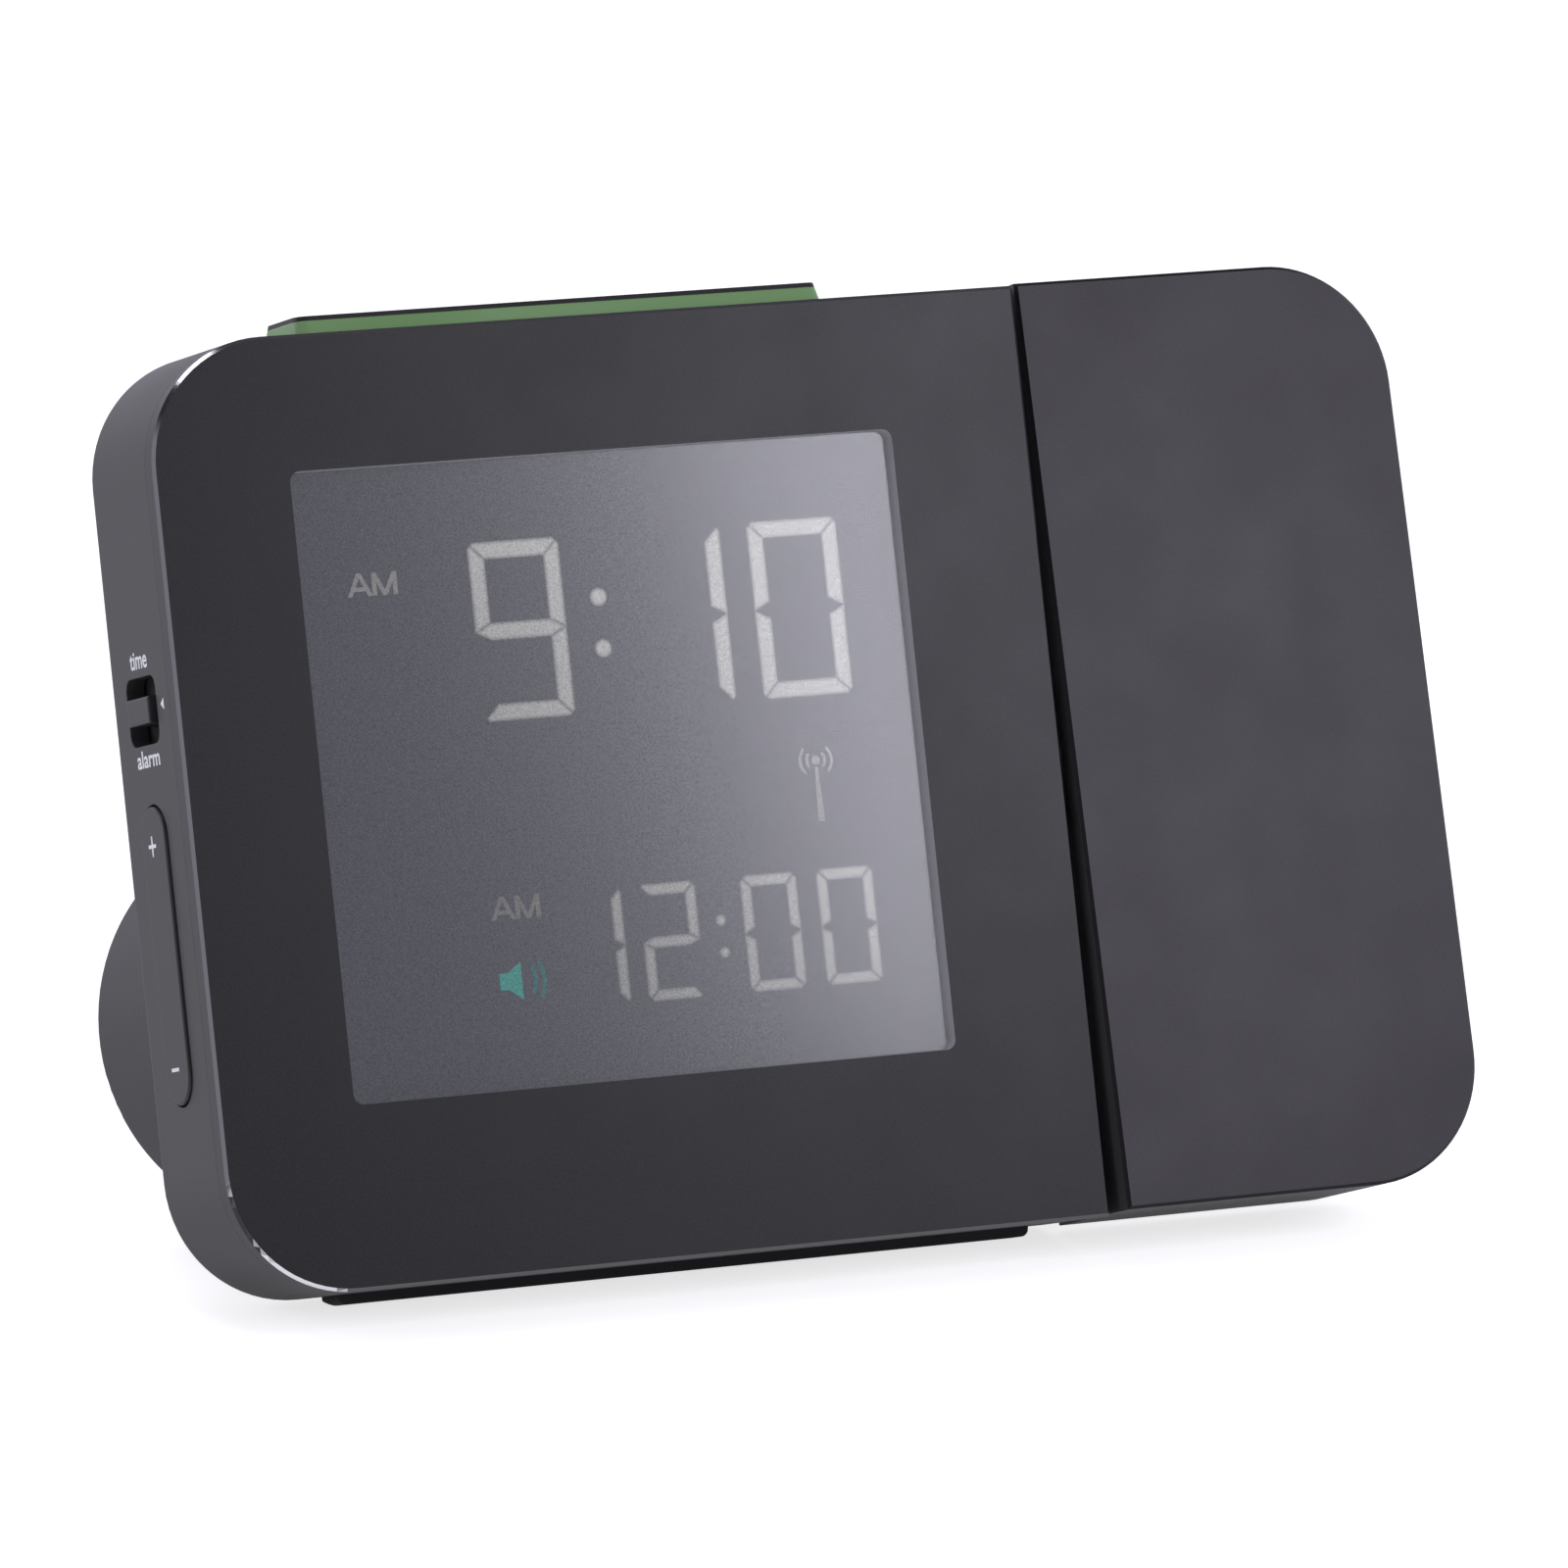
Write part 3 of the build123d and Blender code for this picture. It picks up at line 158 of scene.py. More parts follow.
# Inside are the boards, the receiver can, the antenna, switches, hinge and projector: glass fibre, tin,
# ferrite, copper wire, steel, black and white mouldings. Each finish has a dark and a light tone, a
# roughness, a share of metal, a size of its patches in millimetres, and the nodes that have it.
INNER = {
    "board_green": ((0.012, 0.085, 0.035, 1), (0.02, 0.12, 0.05, 1), 0.35, 0, 1.2,
                    ("main_pcb", "side_board", "led_board", "driver_board")),
    "can_tin": ((0.52, 0.52, 0.5, 1), (0.66, 0.66, 0.64, 1), 0.32, 1, 2.0, ("radio_receiver",)),
    "screw_steel": ((0.1, 0.1, 0.105, 1), (0.16, 0.16, 0.165, 1), 0.34, 1, 0.6, ("pcb_screws",)),
    "ferrite": ((0.03, 0.028, 0.028, 1), (0.05, 0.046, 0.045, 1), 0.6, 0, 0.4, ("antenna_rod",)),
    "winding": ((0.4, 0.15, 0.06, 1), (0.52, 0.22, 0.09, 1), 0.3, 1, 0.2, ("antenna_coil",)),
    "switch_dark": ((0.012, 0.012, 0.013, 1), (0.02, 0.02, 0.021, 1), 0.4, 0, 0.5,
                    ("rocker_switches", "mode_switch_body", "snooze_switches", "button_switches",
                     "sounder", "dc_jack")),
    "holder_grey": ((0.02, 0.02, 0.022, 1), (0.03, 0.03, 0.032, 1), 0.55, 0, 0.5,
                    ("lcd_holder", "projector_frame", "lens_barrel", "trunnion")),
    "guide_white": ((0.7, 0.72, 0.75, 1), (0.78, 0.8, 0.82, 1), 0.3, 0, 3.0, ("light_guide",)),
    "bush_acetal": ((0.6, 0.6, 0.57, 1), (0.68, 0.68, 0.65, 1), 0.45, 0, 1.0, ("hinge_bush",)),
    "washer_black": ((0.012, 0.012, 0.012, 1), (0.018, 0.018, 0.018, 1), 0.5, 0, 1.0, ("thrust_washer",)),
    "spring_steel": ((0.33, 0.33, 0.33, 1), (0.42, 0.42, 0.42, 1), 0.28, 1, 0.5,
                     ("friction_washer", "trunnion_clip")),
    "cable_black": ((0.014, 0.014, 0.014, 1), (0.022, 0.022, 0.022, 1), 0.6, 0, 0.4, ("projector_cable",)),
    "contact_nickel": ((0.55, 0.54, 0.5, 1), (0.68, 0.67, 0.63, 1), 0.25, 1, 0.8, ("battery_plates",)),
    "led_red": ((0.3, 0.01, 0.01, 1), (0.45, 0.015, 0.015, 1), 0.15, 0, 1.0, ("projector_led",)),
    "lcd_glass": ((0.05, 0.055, 0.065, 1), (0.06, 0.065, 0.075, 1), 0.15, 0, 2.0, ("projector_lcd",)),
}
INNER_SPREAD = 0.16
inner = {}
for name, (dark, light, rough, metallic, size, nodes) in INNER.items():
    material, place = start(name)
    cloud = speckle(place, size)
    shade(material, {
        "Base Color": mixed(cloud, dark, light),
        "Roughness": cloud * INNER_SPREAD + (rough - INNER_SPREAD / 2),
        "Metallic": metallic,
    })
    dress(material, *nodes)
    inner[name] = material

# The display is a dark liquid crystal cell under a polariser sheet, lit from behind. Its segments let the
# light through, so the figures are pale on slate grey. The glow grows brighter to the right and upwards:
# that rise is painted light, following the soft box at the front right.
LCD_SLATE = (0.04, 0.04, 0.046, 1)
LCD_GLOW = ((0.07, 0.07, 0.083, 1), (0.17, 0.171, 0.186, 1))
# How the cell's glow rises to the right and upwards: painted light.
LCD_PAINTED_LIGHT_RAMP = (0.3, 20.0, 110.0)
LCD_ROUGH = 0.5
LCD_DARK = (0, 0, 0, 1)
FOG_SIZE = 0.16
FOG_DETAIL = 3.0
FOG_PATCHES = (0.25, 0.75)
FOG_SHARE = 0.4
POLARISER = 0.01
SHEET_INSET = 0.2
FIGURE_PALE = (0.16, 0.16, 0.155, 1)
FIGURE_GLOW = ((0.175, 0.175, 0.173, 1), (0.46, 0.46, 0.453, 1))
# How the figures' glow rises to the right and upwards: painted light.
FIGURE_PAINTED_LIGHT_RAMP = (1.2, 56.0, 150.0)
FIGURE_FILM = 0.03
SOFT_EDGE = (("edge", -0.13, 0.2), ("rim", -0.04, 0.5), ("inner", 0.06, 0.8), ("core", 0.2, 1.0))
SEGMENT_GAP = 0.13
DIGIT_CLIP = 0.55
LIT = {"0": "abcdef", "1": "bc", "2": "abdeg", "9": "abcdfg"}
TIME_FIGURES = (("9", 35.64), ("1", 51.93), ("0", 63.82))
TIME_LEVEL = 59.46
TIME_DIGIT = (9.08, 16.62, 1.56)
TIME_COLON = ((43.68, 61.91), (43.66, 57.11))
TIME_DOT = 0.75
ALARM_FIGURES = (("1", 39.94), ("2", 47.44), ("0", 57.73), ("0", 65.5))
ALARM_LEVEL = 29.48
ALARM_DIGIT = (5.74, 10.92, 1.09)
ALARM_COLON = ((52.57, 30.99), (52.66, 27.98))
ALARM_DOT = 0.45

# The clock leans back, so it is drawn upright, in millimetres from the front plate's lower left corner:
# x to the right, y straight back, the way that the battery door comes off, and z up.
joints = {joint["name"]: joint for joint in frame["joints"]}
RIGHT = Vector((1, 0, 0))
BACK = Vector(joints["battery_cover_off"]["axis"]).normalized()
UP = RIGHT.cross(BACK)


def reach(node, axis):
    """The lowest and the highest place of a CAD node along an axis, in metres."""
    places = [vertex.co.dot(axis) for vertex in frame["nodes"][node].data.vertices]
    return min(places), max(places)


corner = Vector([reach("front_panel", axis)[0] for axis in (RIGHT, BACK, UP)])
upright = Matrix((RIGHT, BACK, UP)).transposed().to_4x4()
slab = upright @ Matrix.Translation(corner) @ Matrix.Scale(MM, 4)


def place_of(node):
    """A CAD node's lowest and highest corners in the slab's own millimetres."""
    pairs = [reach(node, axis) for axis in (RIGHT, BACK, UP)]
    return [[(pair[end] - origin) / MM for pair, origin in zip(pairs, corner)] for end in (0, 1)]


def front_sheet(depth):
    """The plane of x and z at a depth behind the front face; its third axis points to the viewer."""
    return slab @ Matrix(((1, 0, 0, 0), (0, 0, -1, depth), (0, 1, 0, 0), (0, 0, 0, 1)))


def stacked(name, stacks, plane):
    """Closed solids, each a stack of outlines at heights over a plane, in millimetres."""
    shape = bmesh.new()
    for stack in stacks:
        rings = [[shape.verts.new(plane @ Vector((x, y, height))) for x, y in outline]
                 for outline, height in stack]
        shape.faces.new(rings[0])
        shape.faces.new(rings[-1])
        for low, high in zip(rings, rings[1:]):
            for i in range(len(low)):
                shape.faces.new((low[i - 1], low[i], high[i], high[i - 1]))
    bmesh.ops.recalc_face_normals(shape, faces=shape.faces)
    mesh = bpy.data.meshes.new(name)
    shape.to_mesh(mesh)
    shape.free()
    return mesh


def thin(name, outlines, plane, thickness):
    """Thin plates with outlines drawn in millimetres on a plane."""
    return stacked(name, [[(outline, 0), (outline, thickness)] for outline in outlines], plane)


def piece(name, mesh, material, body):
    """A new piece with its finish and the body that it rides on."""
    made = bpy.data.objects.new(name, mesh)
    bpy.context.scene.collection.objects.link(made)
    mesh.materials.append(material)
    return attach(made, body)


def drawn_in(outline, gap):
    """A convex outline whose sides all move inwards by a gap."""
    made = []
    for i, here in enumerate(outline):
        before = (Vector(here) - Vector(outline[i - 1])).normalized()
        after = (Vector(outline[(i + 1) % len(outline)]) - Vector(here)).normalized()
        inward = Vector((before.y + after.y, -before.x - after.x))
        made.append(Vector(here) + inward * (gap / (1 + before.dot(after))))
    return made


def digit(character, centre, size, inset):
    """A figure's lit segments, mitred where they meet, with clipped corners, drawn in by an inset."""
    width, height, stroke = size
    half = height / 2
    side = [(0, height - DIGIT_CLIP), (DIGIT_CLIP / 2, height - DIGIT_CLIP / 2),
            (stroke, height - stroke), (stroke, half + stroke / 2), (0, half)]
    cap = [(DIGIT_CLIP, height), (width - DIGIT_CLIP, height),
           (width - DIGIT_CLIP / 2, height - DIGIT_CLIP / 2), (width - stroke, height - stroke),
           (stroke, height - stroke), (DIGIT_CLIP / 2, height - DIGIT_CLIP / 2)]
    middle = [(0, half), (stroke, half + stroke / 2), (width - stroke, half + stroke / 2),
              (width, half), (width - stroke, half - stroke / 2), (stroke, half - stroke / 2)]
    right = [(width - x, y) for x, y in reversed(side)]
    segments = {
        "a": cap,
        "b": right,
        "c": [(x, height - y) for x, y in reversed(right)],
        "d": [(x, height - y) for x, y in reversed(cap)],
        "e": [(x, height - y) for x, y in reversed(side)],
        "f": side,
        "g": middle,
    }
    offset = Vector((centre[0] - width / 2, centre[1] - half))
    return [[point + offset for point in drawn_in(segments[lit], SEGMENT_GAP / 2 + inset)]
            for lit in LIT[character]]


def dot(centre, radius, steps=24):
    """A round spot."""
    return [(centre[0] + radius * cos(2 * pi * i / steps), centre[1] + radius * sin(2 * pi * i / steps))
            for i in range(steps)]


def readout(figures, level, size, colon, radius, inset):
    """A row of figures with its colon, drawn in by an inset."""
    outlines = []
    for character, x in figures:
        outlines += digit(character, (x, level), size, inset)
    return outlines + [dot(centre, radius - inset) for centre in colon]


def blended(low, high, share):
    """A colour at a share of the way from one to another."""
    return [a + (b - a) * share for a, b in zip(low, high)]


def leaning(vector, axis):
    """How far a vector goes along an axis."""
    return vector.make("ShaderNodeVectorMath", {"operation": "DOT_PRODUCT"}, {0: vector, 1: axis}, output=1)


def along(place, axis, origin):
    """How far a place lies along an axis from an origin, in millimetres."""
    return (leaning(place, axis) - origin) * (1 / MM)


def backlit(name, base, glow, lamp):
    """A film with a base colour and a glow, whose rise to the right and upwards is painted light."""
    material, place = start(name)
    painted_rise, low, high = lamp
    # The glow's rise to the right and upwards is painted light.
    lit = between(along(place, RIGHT, corner.x) + along(place, UP, corner.z) * painted_rise, low, high)
    fog = between(speckle(place, FOG_SIZE, FOG_DETAIL), *FOG_PATCHES) * FOG_SHARE
    shade(material, {
        "Base Color": mixed(fog, base, LCD_DARK),
        "Roughness": LCD_ROUGH,
        "Specular IOR Level": 0.0,
        "Emission Color": mixed(fog, mixed(lit, *glow), LCD_DARK),
        "Emission Strength": 1.0,
    })
    return material


pane_low, pane_high = place_of("display_pane")
film = front_sheet(pane_high[1])
slate = backlit("lcd_cell", LCD_SLATE, LCD_GLOW, LCD_PAINTED_LIGHT_RAMP)
dress(slate, "lcd_cell")
left, right = pane_low[0], pane_high[0]
bottom, top = pane_low[2], pane_high[2]
sheet = drawn_in([(left, top), (right, top), (right, bottom), (left, bottom)], SHEET_INSET)
piece("front_polariser", thin("front_polariser", [sheet], film, POLARISER), slate, "clock")

ROWS = {
    "time_figures": (TIME_FIGURES, TIME_LEVEL, TIME_DIGIT, TIME_COLON, TIME_DOT),
    "alarm_figures": (ALARM_FIGURES, ALARM_LEVEL, ALARM_DIGIT, ALARM_COLON, ALARM_DOT),
}
for layer, (step, inset, share) in enumerate(SOFT_EDGE, 1):
    glow = [blended(dark, lit, share) for dark, lit in zip(LCD_GLOW, FIGURE_GLOW)]
    tone = backlit(f"lcd_figure_{step}", blended(LCD_SLATE, FIGURE_PALE, share), glow, FIGURE_PAINTED_LIGHT_RAMP)
    thickness = POLARISER + layer * FIGURE_FILM / len(SOFT_EDGE)
    for row, values in ROWS.items():
        name = f"{row}_{step}"
        piece(name, thin(name, readout(*values, inset), film, thickness), tone, "clock")

# The display's symbols are single segments of the same cell: a mast for the time signal, a horn for the
# alarm, in teal, and AM beside each row of figures.
PALE_BASE = (0.08, 0.08, 0.08, 1)
PALE_GLOW = ((0.12, 0.12, 0.12, 1), (0.31, 0.31, 0.305, 1))
TEAL_BASE = (0.05, 0.11, 0.1, 1)
TEAL_GLOW = ((0.05, 0.21, 0.19, 1), (0.07, 0.27, 0.24, 1))
WAVE_BASE = (0.03, 0.06, 0.06, 1)
WAVE_GLOW = ((0.05, 0.13, 0.13, 1), (0.08, 0.17, 0.17, 1))
MAST = (63.83, 45.11)
MAST_DOT = 0.42
MAST_POLE = [(63.68, 44.51), (63.98, 44.51), (64.18, 39.4), (63.48, 39.4)]
MAST_WAVES = (1.05, 1.75)
MAST_STROKE = 0.28
MAST_SIDES = (-45, 135)
MAST_SPREAD = 90
HORN = (31.22, 27.08)
HORN_BODY = [(29.9, 26.3), (30.72, 26.3), (32.12, 25.3), (32.12, 28.8), (30.72, 27.86), (29.9, 27.86)]
HORN_WAVES = (2.5, 3.35)
HORN_STROKE = 0.38
HORN_SPREAD = 31
LETTER = (2.5, 2.15, 0.44)
RUNG = ((0.25, 0.22), (0.75, 0.22), (0.66, 0.4), (0.34, 0.4))
AM_AT = {"time_am": (21.33, 64.69), "alarm_am": (32.17, 33.86)}


def ring_part(centre, radius, width, first, last, steps=12):
    """A stretch of a flat ring between two angles, in degrees."""
    turns = [radians(first + (last - first) * i / steps) for i in range(steps + 1)]
    outer = [(centre[0] + radius * cos(a), centre[1] + radius * sin(a)) for a in turns]
    inner_radius = radius - width
    return outer + [(centre[0] + inner_radius * cos(a), centre[1] + inner_radius * sin(a))
                    for a in reversed(turns)]


# The symbols' glow rises to the right and upwards like the figures': painted light.
pale = backlit("lcd_pale_symbol", PALE_BASE, PALE_GLOW, FIGURE_PAINTED_LIGHT_RAMP)
teal = backlit("lcd_teal_symbol", TEAL_BASE, TEAL_GLOW, FIGURE_PAINTED_LIGHT_RAMP)
dim = backlit("lcd_dim_symbol", WAVE_BASE, WAVE_GLOW, FIGURE_PAINTED_LIGHT_RAMP)
mast = [dot(MAST, MAST_DOT), MAST_POLE]
for radius in MAST_WAVES:
    for first in MAST_SIDES:
        mast.append(ring_part(MAST, radius, MAST_STROKE, first, first + MAST_SPREAD))
piece("signal_symbol", thin("signal_symbol", mast, film, FIGURE_FILM), pale, "clock")
waves = [ring_part(HORN, radius, HORN_STROKE, -HORN_SPREAD, HORN_SPREAD) for radius in HORN_WAVES]
piece("horn_symbol", thin("horn_symbol", [HORN_BODY], film, FIGURE_FILM), teal, "clock")
piece("horn_waves", thin("horn_waves", waves, film, FIGURE_FILM), dim, "clock")

width, height, stroke = LETTER
leg = [(0, 0), (stroke, 0), ((width + stroke) / 2, height), ((width - stroke) / 2, height)]
post = [(0, 0), (stroke, 0), (stroke, height), (0, height)]
slope = [(0, height), (stroke, height), ((width + stroke) / 2, 0), ((width - stroke) / 2, 0)]
am = [[(x * width, y * height) for x, y in RUNG]]
for start_x, outline in ((0, leg), (width, post), (width, slope)):
    am.append([(start_x + x, y) for x, y in outline])
    am.append([(start_x + width - x, y) for x, y in outline])
for name, centre in AM_AT.items():
    shift = Vector(centre) - Vector((width, height / 2))
    outlines = [[Vector(point) + shift for point in outline] for outline in am]
    piece(name, thin(name, outlines, film, POLARISER + FIGURE_FILM), pale, "clock")

# A clear pane with a hazy, glare-free face lies in front of the cell. Its rim is bonded behind the front
# plate and its middle stands up into the window. Light from the right lies on it as a soft sheen.
PANE_ROUGH = 0.16
PANE_SPREAD = 0.06
PANE_HAZE = 0.2
PANE_RIPPLE = 0.002
PANE_IOR = 1.35
PANE_LAP = 1.6
PANE_R = 1.0
WINDOW_DEPTH = 1.1


def rounded(inset, steps=6):
    """The pane's outline drawn in by an inset, with round corners."""
    margin = inset + PANE_R
    low_x, high_x = left + margin, right - margin
    low_y, high_y = bottom + margin, top - margin
    outline = []
    for quarter, (x, y) in enumerate(((high_x, high_y), (low_x, high_y), (low_x, low_y), (high_x, low_y))):
        for i in range(steps + 1):
            turn = (quarter + i / steps) * pi / 2
            outline.append((x + PANE_R * cos(turn), y + PANE_R * sin(turn)))
    return outline


material, place = start("pane_clear")
haze = speckle(place, PANE_HAZE)
inside = place.make("ShaderNodeNewGeometry", {}, {}, output="Backfacing")
fresnel = place.make("ShaderNodeFresnel", {}, {"IOR": PANE_IOR}) * (1 - inside)
clear = place.make("ShaderNodeBsdfTransparent", {}, {})
ripple = place.make("ShaderNodeBump", {}, {"Height": haze, "Distance": PANE_RIPPLE * MM})
sheen = haze * PANE_SPREAD + (PANE_ROUGH - PANE_SPREAD / 2)
gloss = place.make("ShaderNodeBsdfAnisotropic", {}, {"Roughness": sheen, "Normal": ripple})
surface = place.make("ShaderNodeMixShader", {}, {0: fresnel, 1: clear, 2: gloss})
feed(material.node_tree.nodes["Material Output"], {"Surface": surface})
rim = pane_high[1] - pane_low[1]
land = pane_high[1] - WINDOW_DEPTH
profile = [(rounded(0), 0), (rounded(0), rim), (rounded(PANE_LAP), rim), (rounded(PANE_LAP), land)]
pane = piece("stepped_pane", stacked("stepped_pane", [profile], film), material, "clock")
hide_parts("display_pane")

# The front plates of the clock and of the head are flat black plates with a fine matt face and grained
# sides, and the walls of the window are painted pale: painted light in place of their shade. The clock's
# bevel is polished. It carries a painted glint, the bright stretch at the lower left corner, and painted
# dark reflections, the dull ones beside it; they lie where the photograph shows them.
PLATE_BLACK = ((0.006, 0.006, 0.006, 1), (0.010, 0.010, 0.010, 1))
HEAD_BLACK = ((0.0075, 0.0055, 0.007, 1), (0.0115, 0.0095, 0.011, 1))
PLATE_SIDE = (0.06, 0.06, 0.06, 1)
PLATE_ROUGH = 0.37
PLATE_SPREAD = 0.06
PLATE_CLOUD = 9.0
PLATE_GRAIN = 0.22
GRAIN_DETAIL = 3.0
GRAIN_DEPTH = 0.004
GRAIN_PATCHES = (0.35, 0.65)
PLATE_SPECULAR = 0.235
# The window's reveal walls are painted pale: painted light in place of the shade in the recess.
WINDOW_PAINTED_LIGHT = (0.52, 0.52, 0.53, 1)
WINDOW_FADE = 1
BEVEL_FROM = (0.4, 0.5)
BEVEL_TO = (0.8, 0.9)
BEVEL_GREY = (0.5, 0.5, 0.505, 1)
BEVEL_PAINTED_DARK_REFLECTION = (0.06, 0.06, 0.06, 1)
BEVEL_PAINTED_DIM_REFLECTION = (0.16, 0.16, 0.162, 1)
BEVEL_PAINTED_GLINT = (0.95, 0.95, 0.95, 1)
BEVEL_ROUGH = 0.12
# Painted reflections on the bevel: each stretch that faces a direction, in degrees about the front, gets a
# painted glint or a painted dark reflection.
BEVEL_PAINTED_REFLECTIONS = (
    (275, 0.66, 0.69, BEVEL_PAINTED_DIM_REFLECTION),
    (203, 0.678, 0.692, BEVEL_PAINTED_DARK_REFLECTION),
    (242, 0.655, 0.672, BEVEL_PAINTED_GLINT),
)


def within(value, low, high):
    """One between two places, fading to zero outside them."""
    return between(value, low - WINDOW_FADE, low) * (1 - between(value, high, high + WINDOW_FADE))


def plate(name, node, axis, blacks, polish):
    """A plate's finish: matt on the face that looks along an axis, polished by a share on the bevel, and
    with painted reflections on stretches of that bevel.
    """
    material, place = start(name)
    normal = place.make("ShaderNodeNewGeometry", {}, {}, output="True Normal")
    settings = {"vector_type": "NORMAL", "convert_from": "WORLD", "convert_to": "OBJECT"}
    local = place.make("ShaderNodeVectorTransform", settings, {"Vector": normal})
    facing = leaning(local, axis)
    outward = between(facing, *BEVEL_FROM)
    bevel = outward * (1 - between(facing, *BEVEL_TO)) * polish
    grain = speckle(place, PLATE_GRAIN, GRAIN_DETAIL)
    cloud = speckle(place, PLATE_CLOUD)
    face = mixed(between(grain, *GRAIN_PATCHES), *blacks)
    # The walls inside the window take a pale colour: painted light in place of their shade.
    across = within(along(place, RIGHT, corner.x), left, right)
    painted_reveal = across * within(along(place, UP, corner.z), bottom, top)
    side = mixed(painted_reveal, PLATE_SIDE, WINDOW_PAINTED_LIGHT)
    edge = BEVEL_GREY
    # The bevel's painted reflections: stretches that face the listed directions take a painted glint or a
    # painted dark colour.
    for angle, low, high, colour in BEVEL_PAINTED_REFLECTIONS:
        aim = RIGHT * cos(radians(angle)) + UP * sin(radians(angle))
        edge = mixed(between(leaning(local, aim), low, high), edge, colour)
    shade(material, {
        "Base Color": mixed(bevel, mixed(outward, side, face), edge),
        "Metallic": bevel,
        "Roughness": (1 - bevel) * (cloud * PLATE_SPREAD + PLATE_ROUGH) + bevel * BEVEL_ROUGH,
        "Specular IOR Level": PLATE_SPECULAR,
        "Normal": place.make("ShaderNodeBump", {}, {"Height": grain, "Distance": GRAIN_DEPTH * MM}),
    })
    dress(material, node)


head_axis = Vector(joints["focus_turn"]["axis"]).normalized().cross(RIGHT)
plate("plate_black", "front_panel", -BACK, PLATE_BLACK, polish=1.0)
plate("head_plate_black", "head_panel", -head_axis, HEAD_BLACK, polish=0.0)

# The snooze bar is a green moulding with a satin face that stands out of the top wall, and a thin
# black cap closes it. The whole bar goes down when it is pressed.
SNOOZE_GREEN = (0.195, 0.365, 0.137, 1)
SNOOZE_PALE = (0.23, 0.405, 0.172, 1)
CAP_BLACK = (0.018, 0.018, 0.018, 1)
CAP_PALE = (0.025, 0.025, 0.025, 1)
dress(moulded("snooze_green", SNOOZE_GREEN, SNOOZE_PALE, grain=0.5, depth=0.006, rough=0.38, edge=0.3,
              specular=0.5), "snooze_bar")
dress(moulded("cap_black", CAP_BLACK, CAP_PALE, grain=0.3, depth=0.01, rough=0.5, edge=0.1, specular=0.4),
      "snooze_cap")

# On the left wall are a rocker key for plus and minus and a slide knob for time and alarm, smoother
# than the case. The focus ring and the rear buttons are moulded in the same plastic. The words and signs
# are white prints, and the plus and the minus move with the key.
KEY_BLACK = (0.028, 0.028, 0.028, 1)
KEY_PALE = (0.036, 0.036, 0.036, 1)
PRINT = 0.02
PRINT_WHITE = (0.97, 0.98, 0.98, 1)
PRINT_THIN = (0.8, 0.81, 0.82, 1)
PRINT_ROUGH = 0.5
INK_SIZE = 0.12
INK_DETAIL = 3.0
INK_PATCHES = (0.2, 0.5)
LETTER_WEIGHT = 0.018
WORD_HEIGHT = 1.62
WORDS = {"time": ((-8.87, 59.76), 4.4), "alarm": ((-8.75, 50.66), 5.85)}
POINTER = [(-4.24, 55.3), (-3.37, 54.75), (-3.37, 55.85)]
SIGN = (1.9, 0.34)
PLUS = (-9.3, 42.61)
MINUS = (-9.27, 21.98)
dress(moulded("key_black", KEY_BLACK, KEY_PALE, grain=0.3, depth=0.008, rough=0.42, edge=0.15,
              specular=0.5),
      "rocker_key", "mode_knob", "focus_ring", "rear_button_1", "rear_button_2", "rear_button_3")


def left_sheet(node):
    """The plane of a node's left face, seen from the left, from the front backwards to the left."""
    face = place_of(node)[0][0]
    return slab @ Matrix(((0, 0, -1, face), (-1, 0, 0, 0), (0, 1, 0, 0), (0, 0, 0, 1)))


def lettering(name, words, centre, width, height, plane, thickness):
    """Thin letters of a width and height about a centre on a plane."""
    text = bpy.data.curves.new(name, "FONT")
    text.body = words
    text.extrude = 0.5
    text.offset = LETTER_WEIGHT
    shape = bpy.data.objects.new(name, text)
    mesh = bpy.data.meshes.new_from_object(shape)
    bpy.data.objects.remove(shape)
    xs = [vertex.co.x for vertex in mesh.vertices]
    ys = [vertex.co.y for vertex in mesh.vertices]
    middle = Vector(((min(xs) + max(xs)) / 2, (min(ys) + max(ys)) / 2, -text.extrude))
    fit = Matrix.Diagonal((width / (max(xs) - min(xs)), height / (max(ys) - min(ys)), thickness, 1))
    mesh.transform(plane @ Matrix.Translation((*centre, 0)) @ fit @ Matrix.Translation(-middle))
    mesh.materials.clear()
    return mesh


def bar(centre, width, height):
    """A rectangle about a centre."""
    x, y = centre
    return [(x - width / 2, y - height / 2), (x + width / 2, y - height / 2),
            (x + width / 2, y + height / 2), (x - width / 2, y + height / 2)]


material, place = start("print_white")
ink = between(speckle(place, INK_SIZE, INK_DETAIL), *INK_PATCHES)
shade(material, {"Base Color": mixed(ink, PRINT_THIN, PRINT_WHITE), "Roughness": PRINT_ROUGH})
wall = left_sheet("main_case")
key = left_sheet("rocker_key")
for word, (centre, width) in WORDS.items():
    name = f"{word}_word"
    letters = lettering(name, word, centre, width, WORD_HEIGHT, wall, PRINT)
    piece(name, letters, material, "clock")
piece("mode_pointer", thin("mode_pointer", [POINTER], wall, PRINT), material, "clock")
length, stroke = SIGN
arm = (length - stroke) / 2
upper = (PLUS[0], PLUS[1] + (stroke + arm) / 2)
lower = (PLUS[0], PLUS[1] - (stroke + arm) / 2)
plus = [bar(PLUS, length, stroke), bar(upper, stroke, arm), bar(lower, stroke, arm)]
piece("plus_sign", thin("plus_sign", plus, key, PRINT), material, "rocker")
minus = [bar(MINUS, length, stroke)]
piece("minus_sign", thin("minus_sign", minus, key, PRINT), material, "rocker")

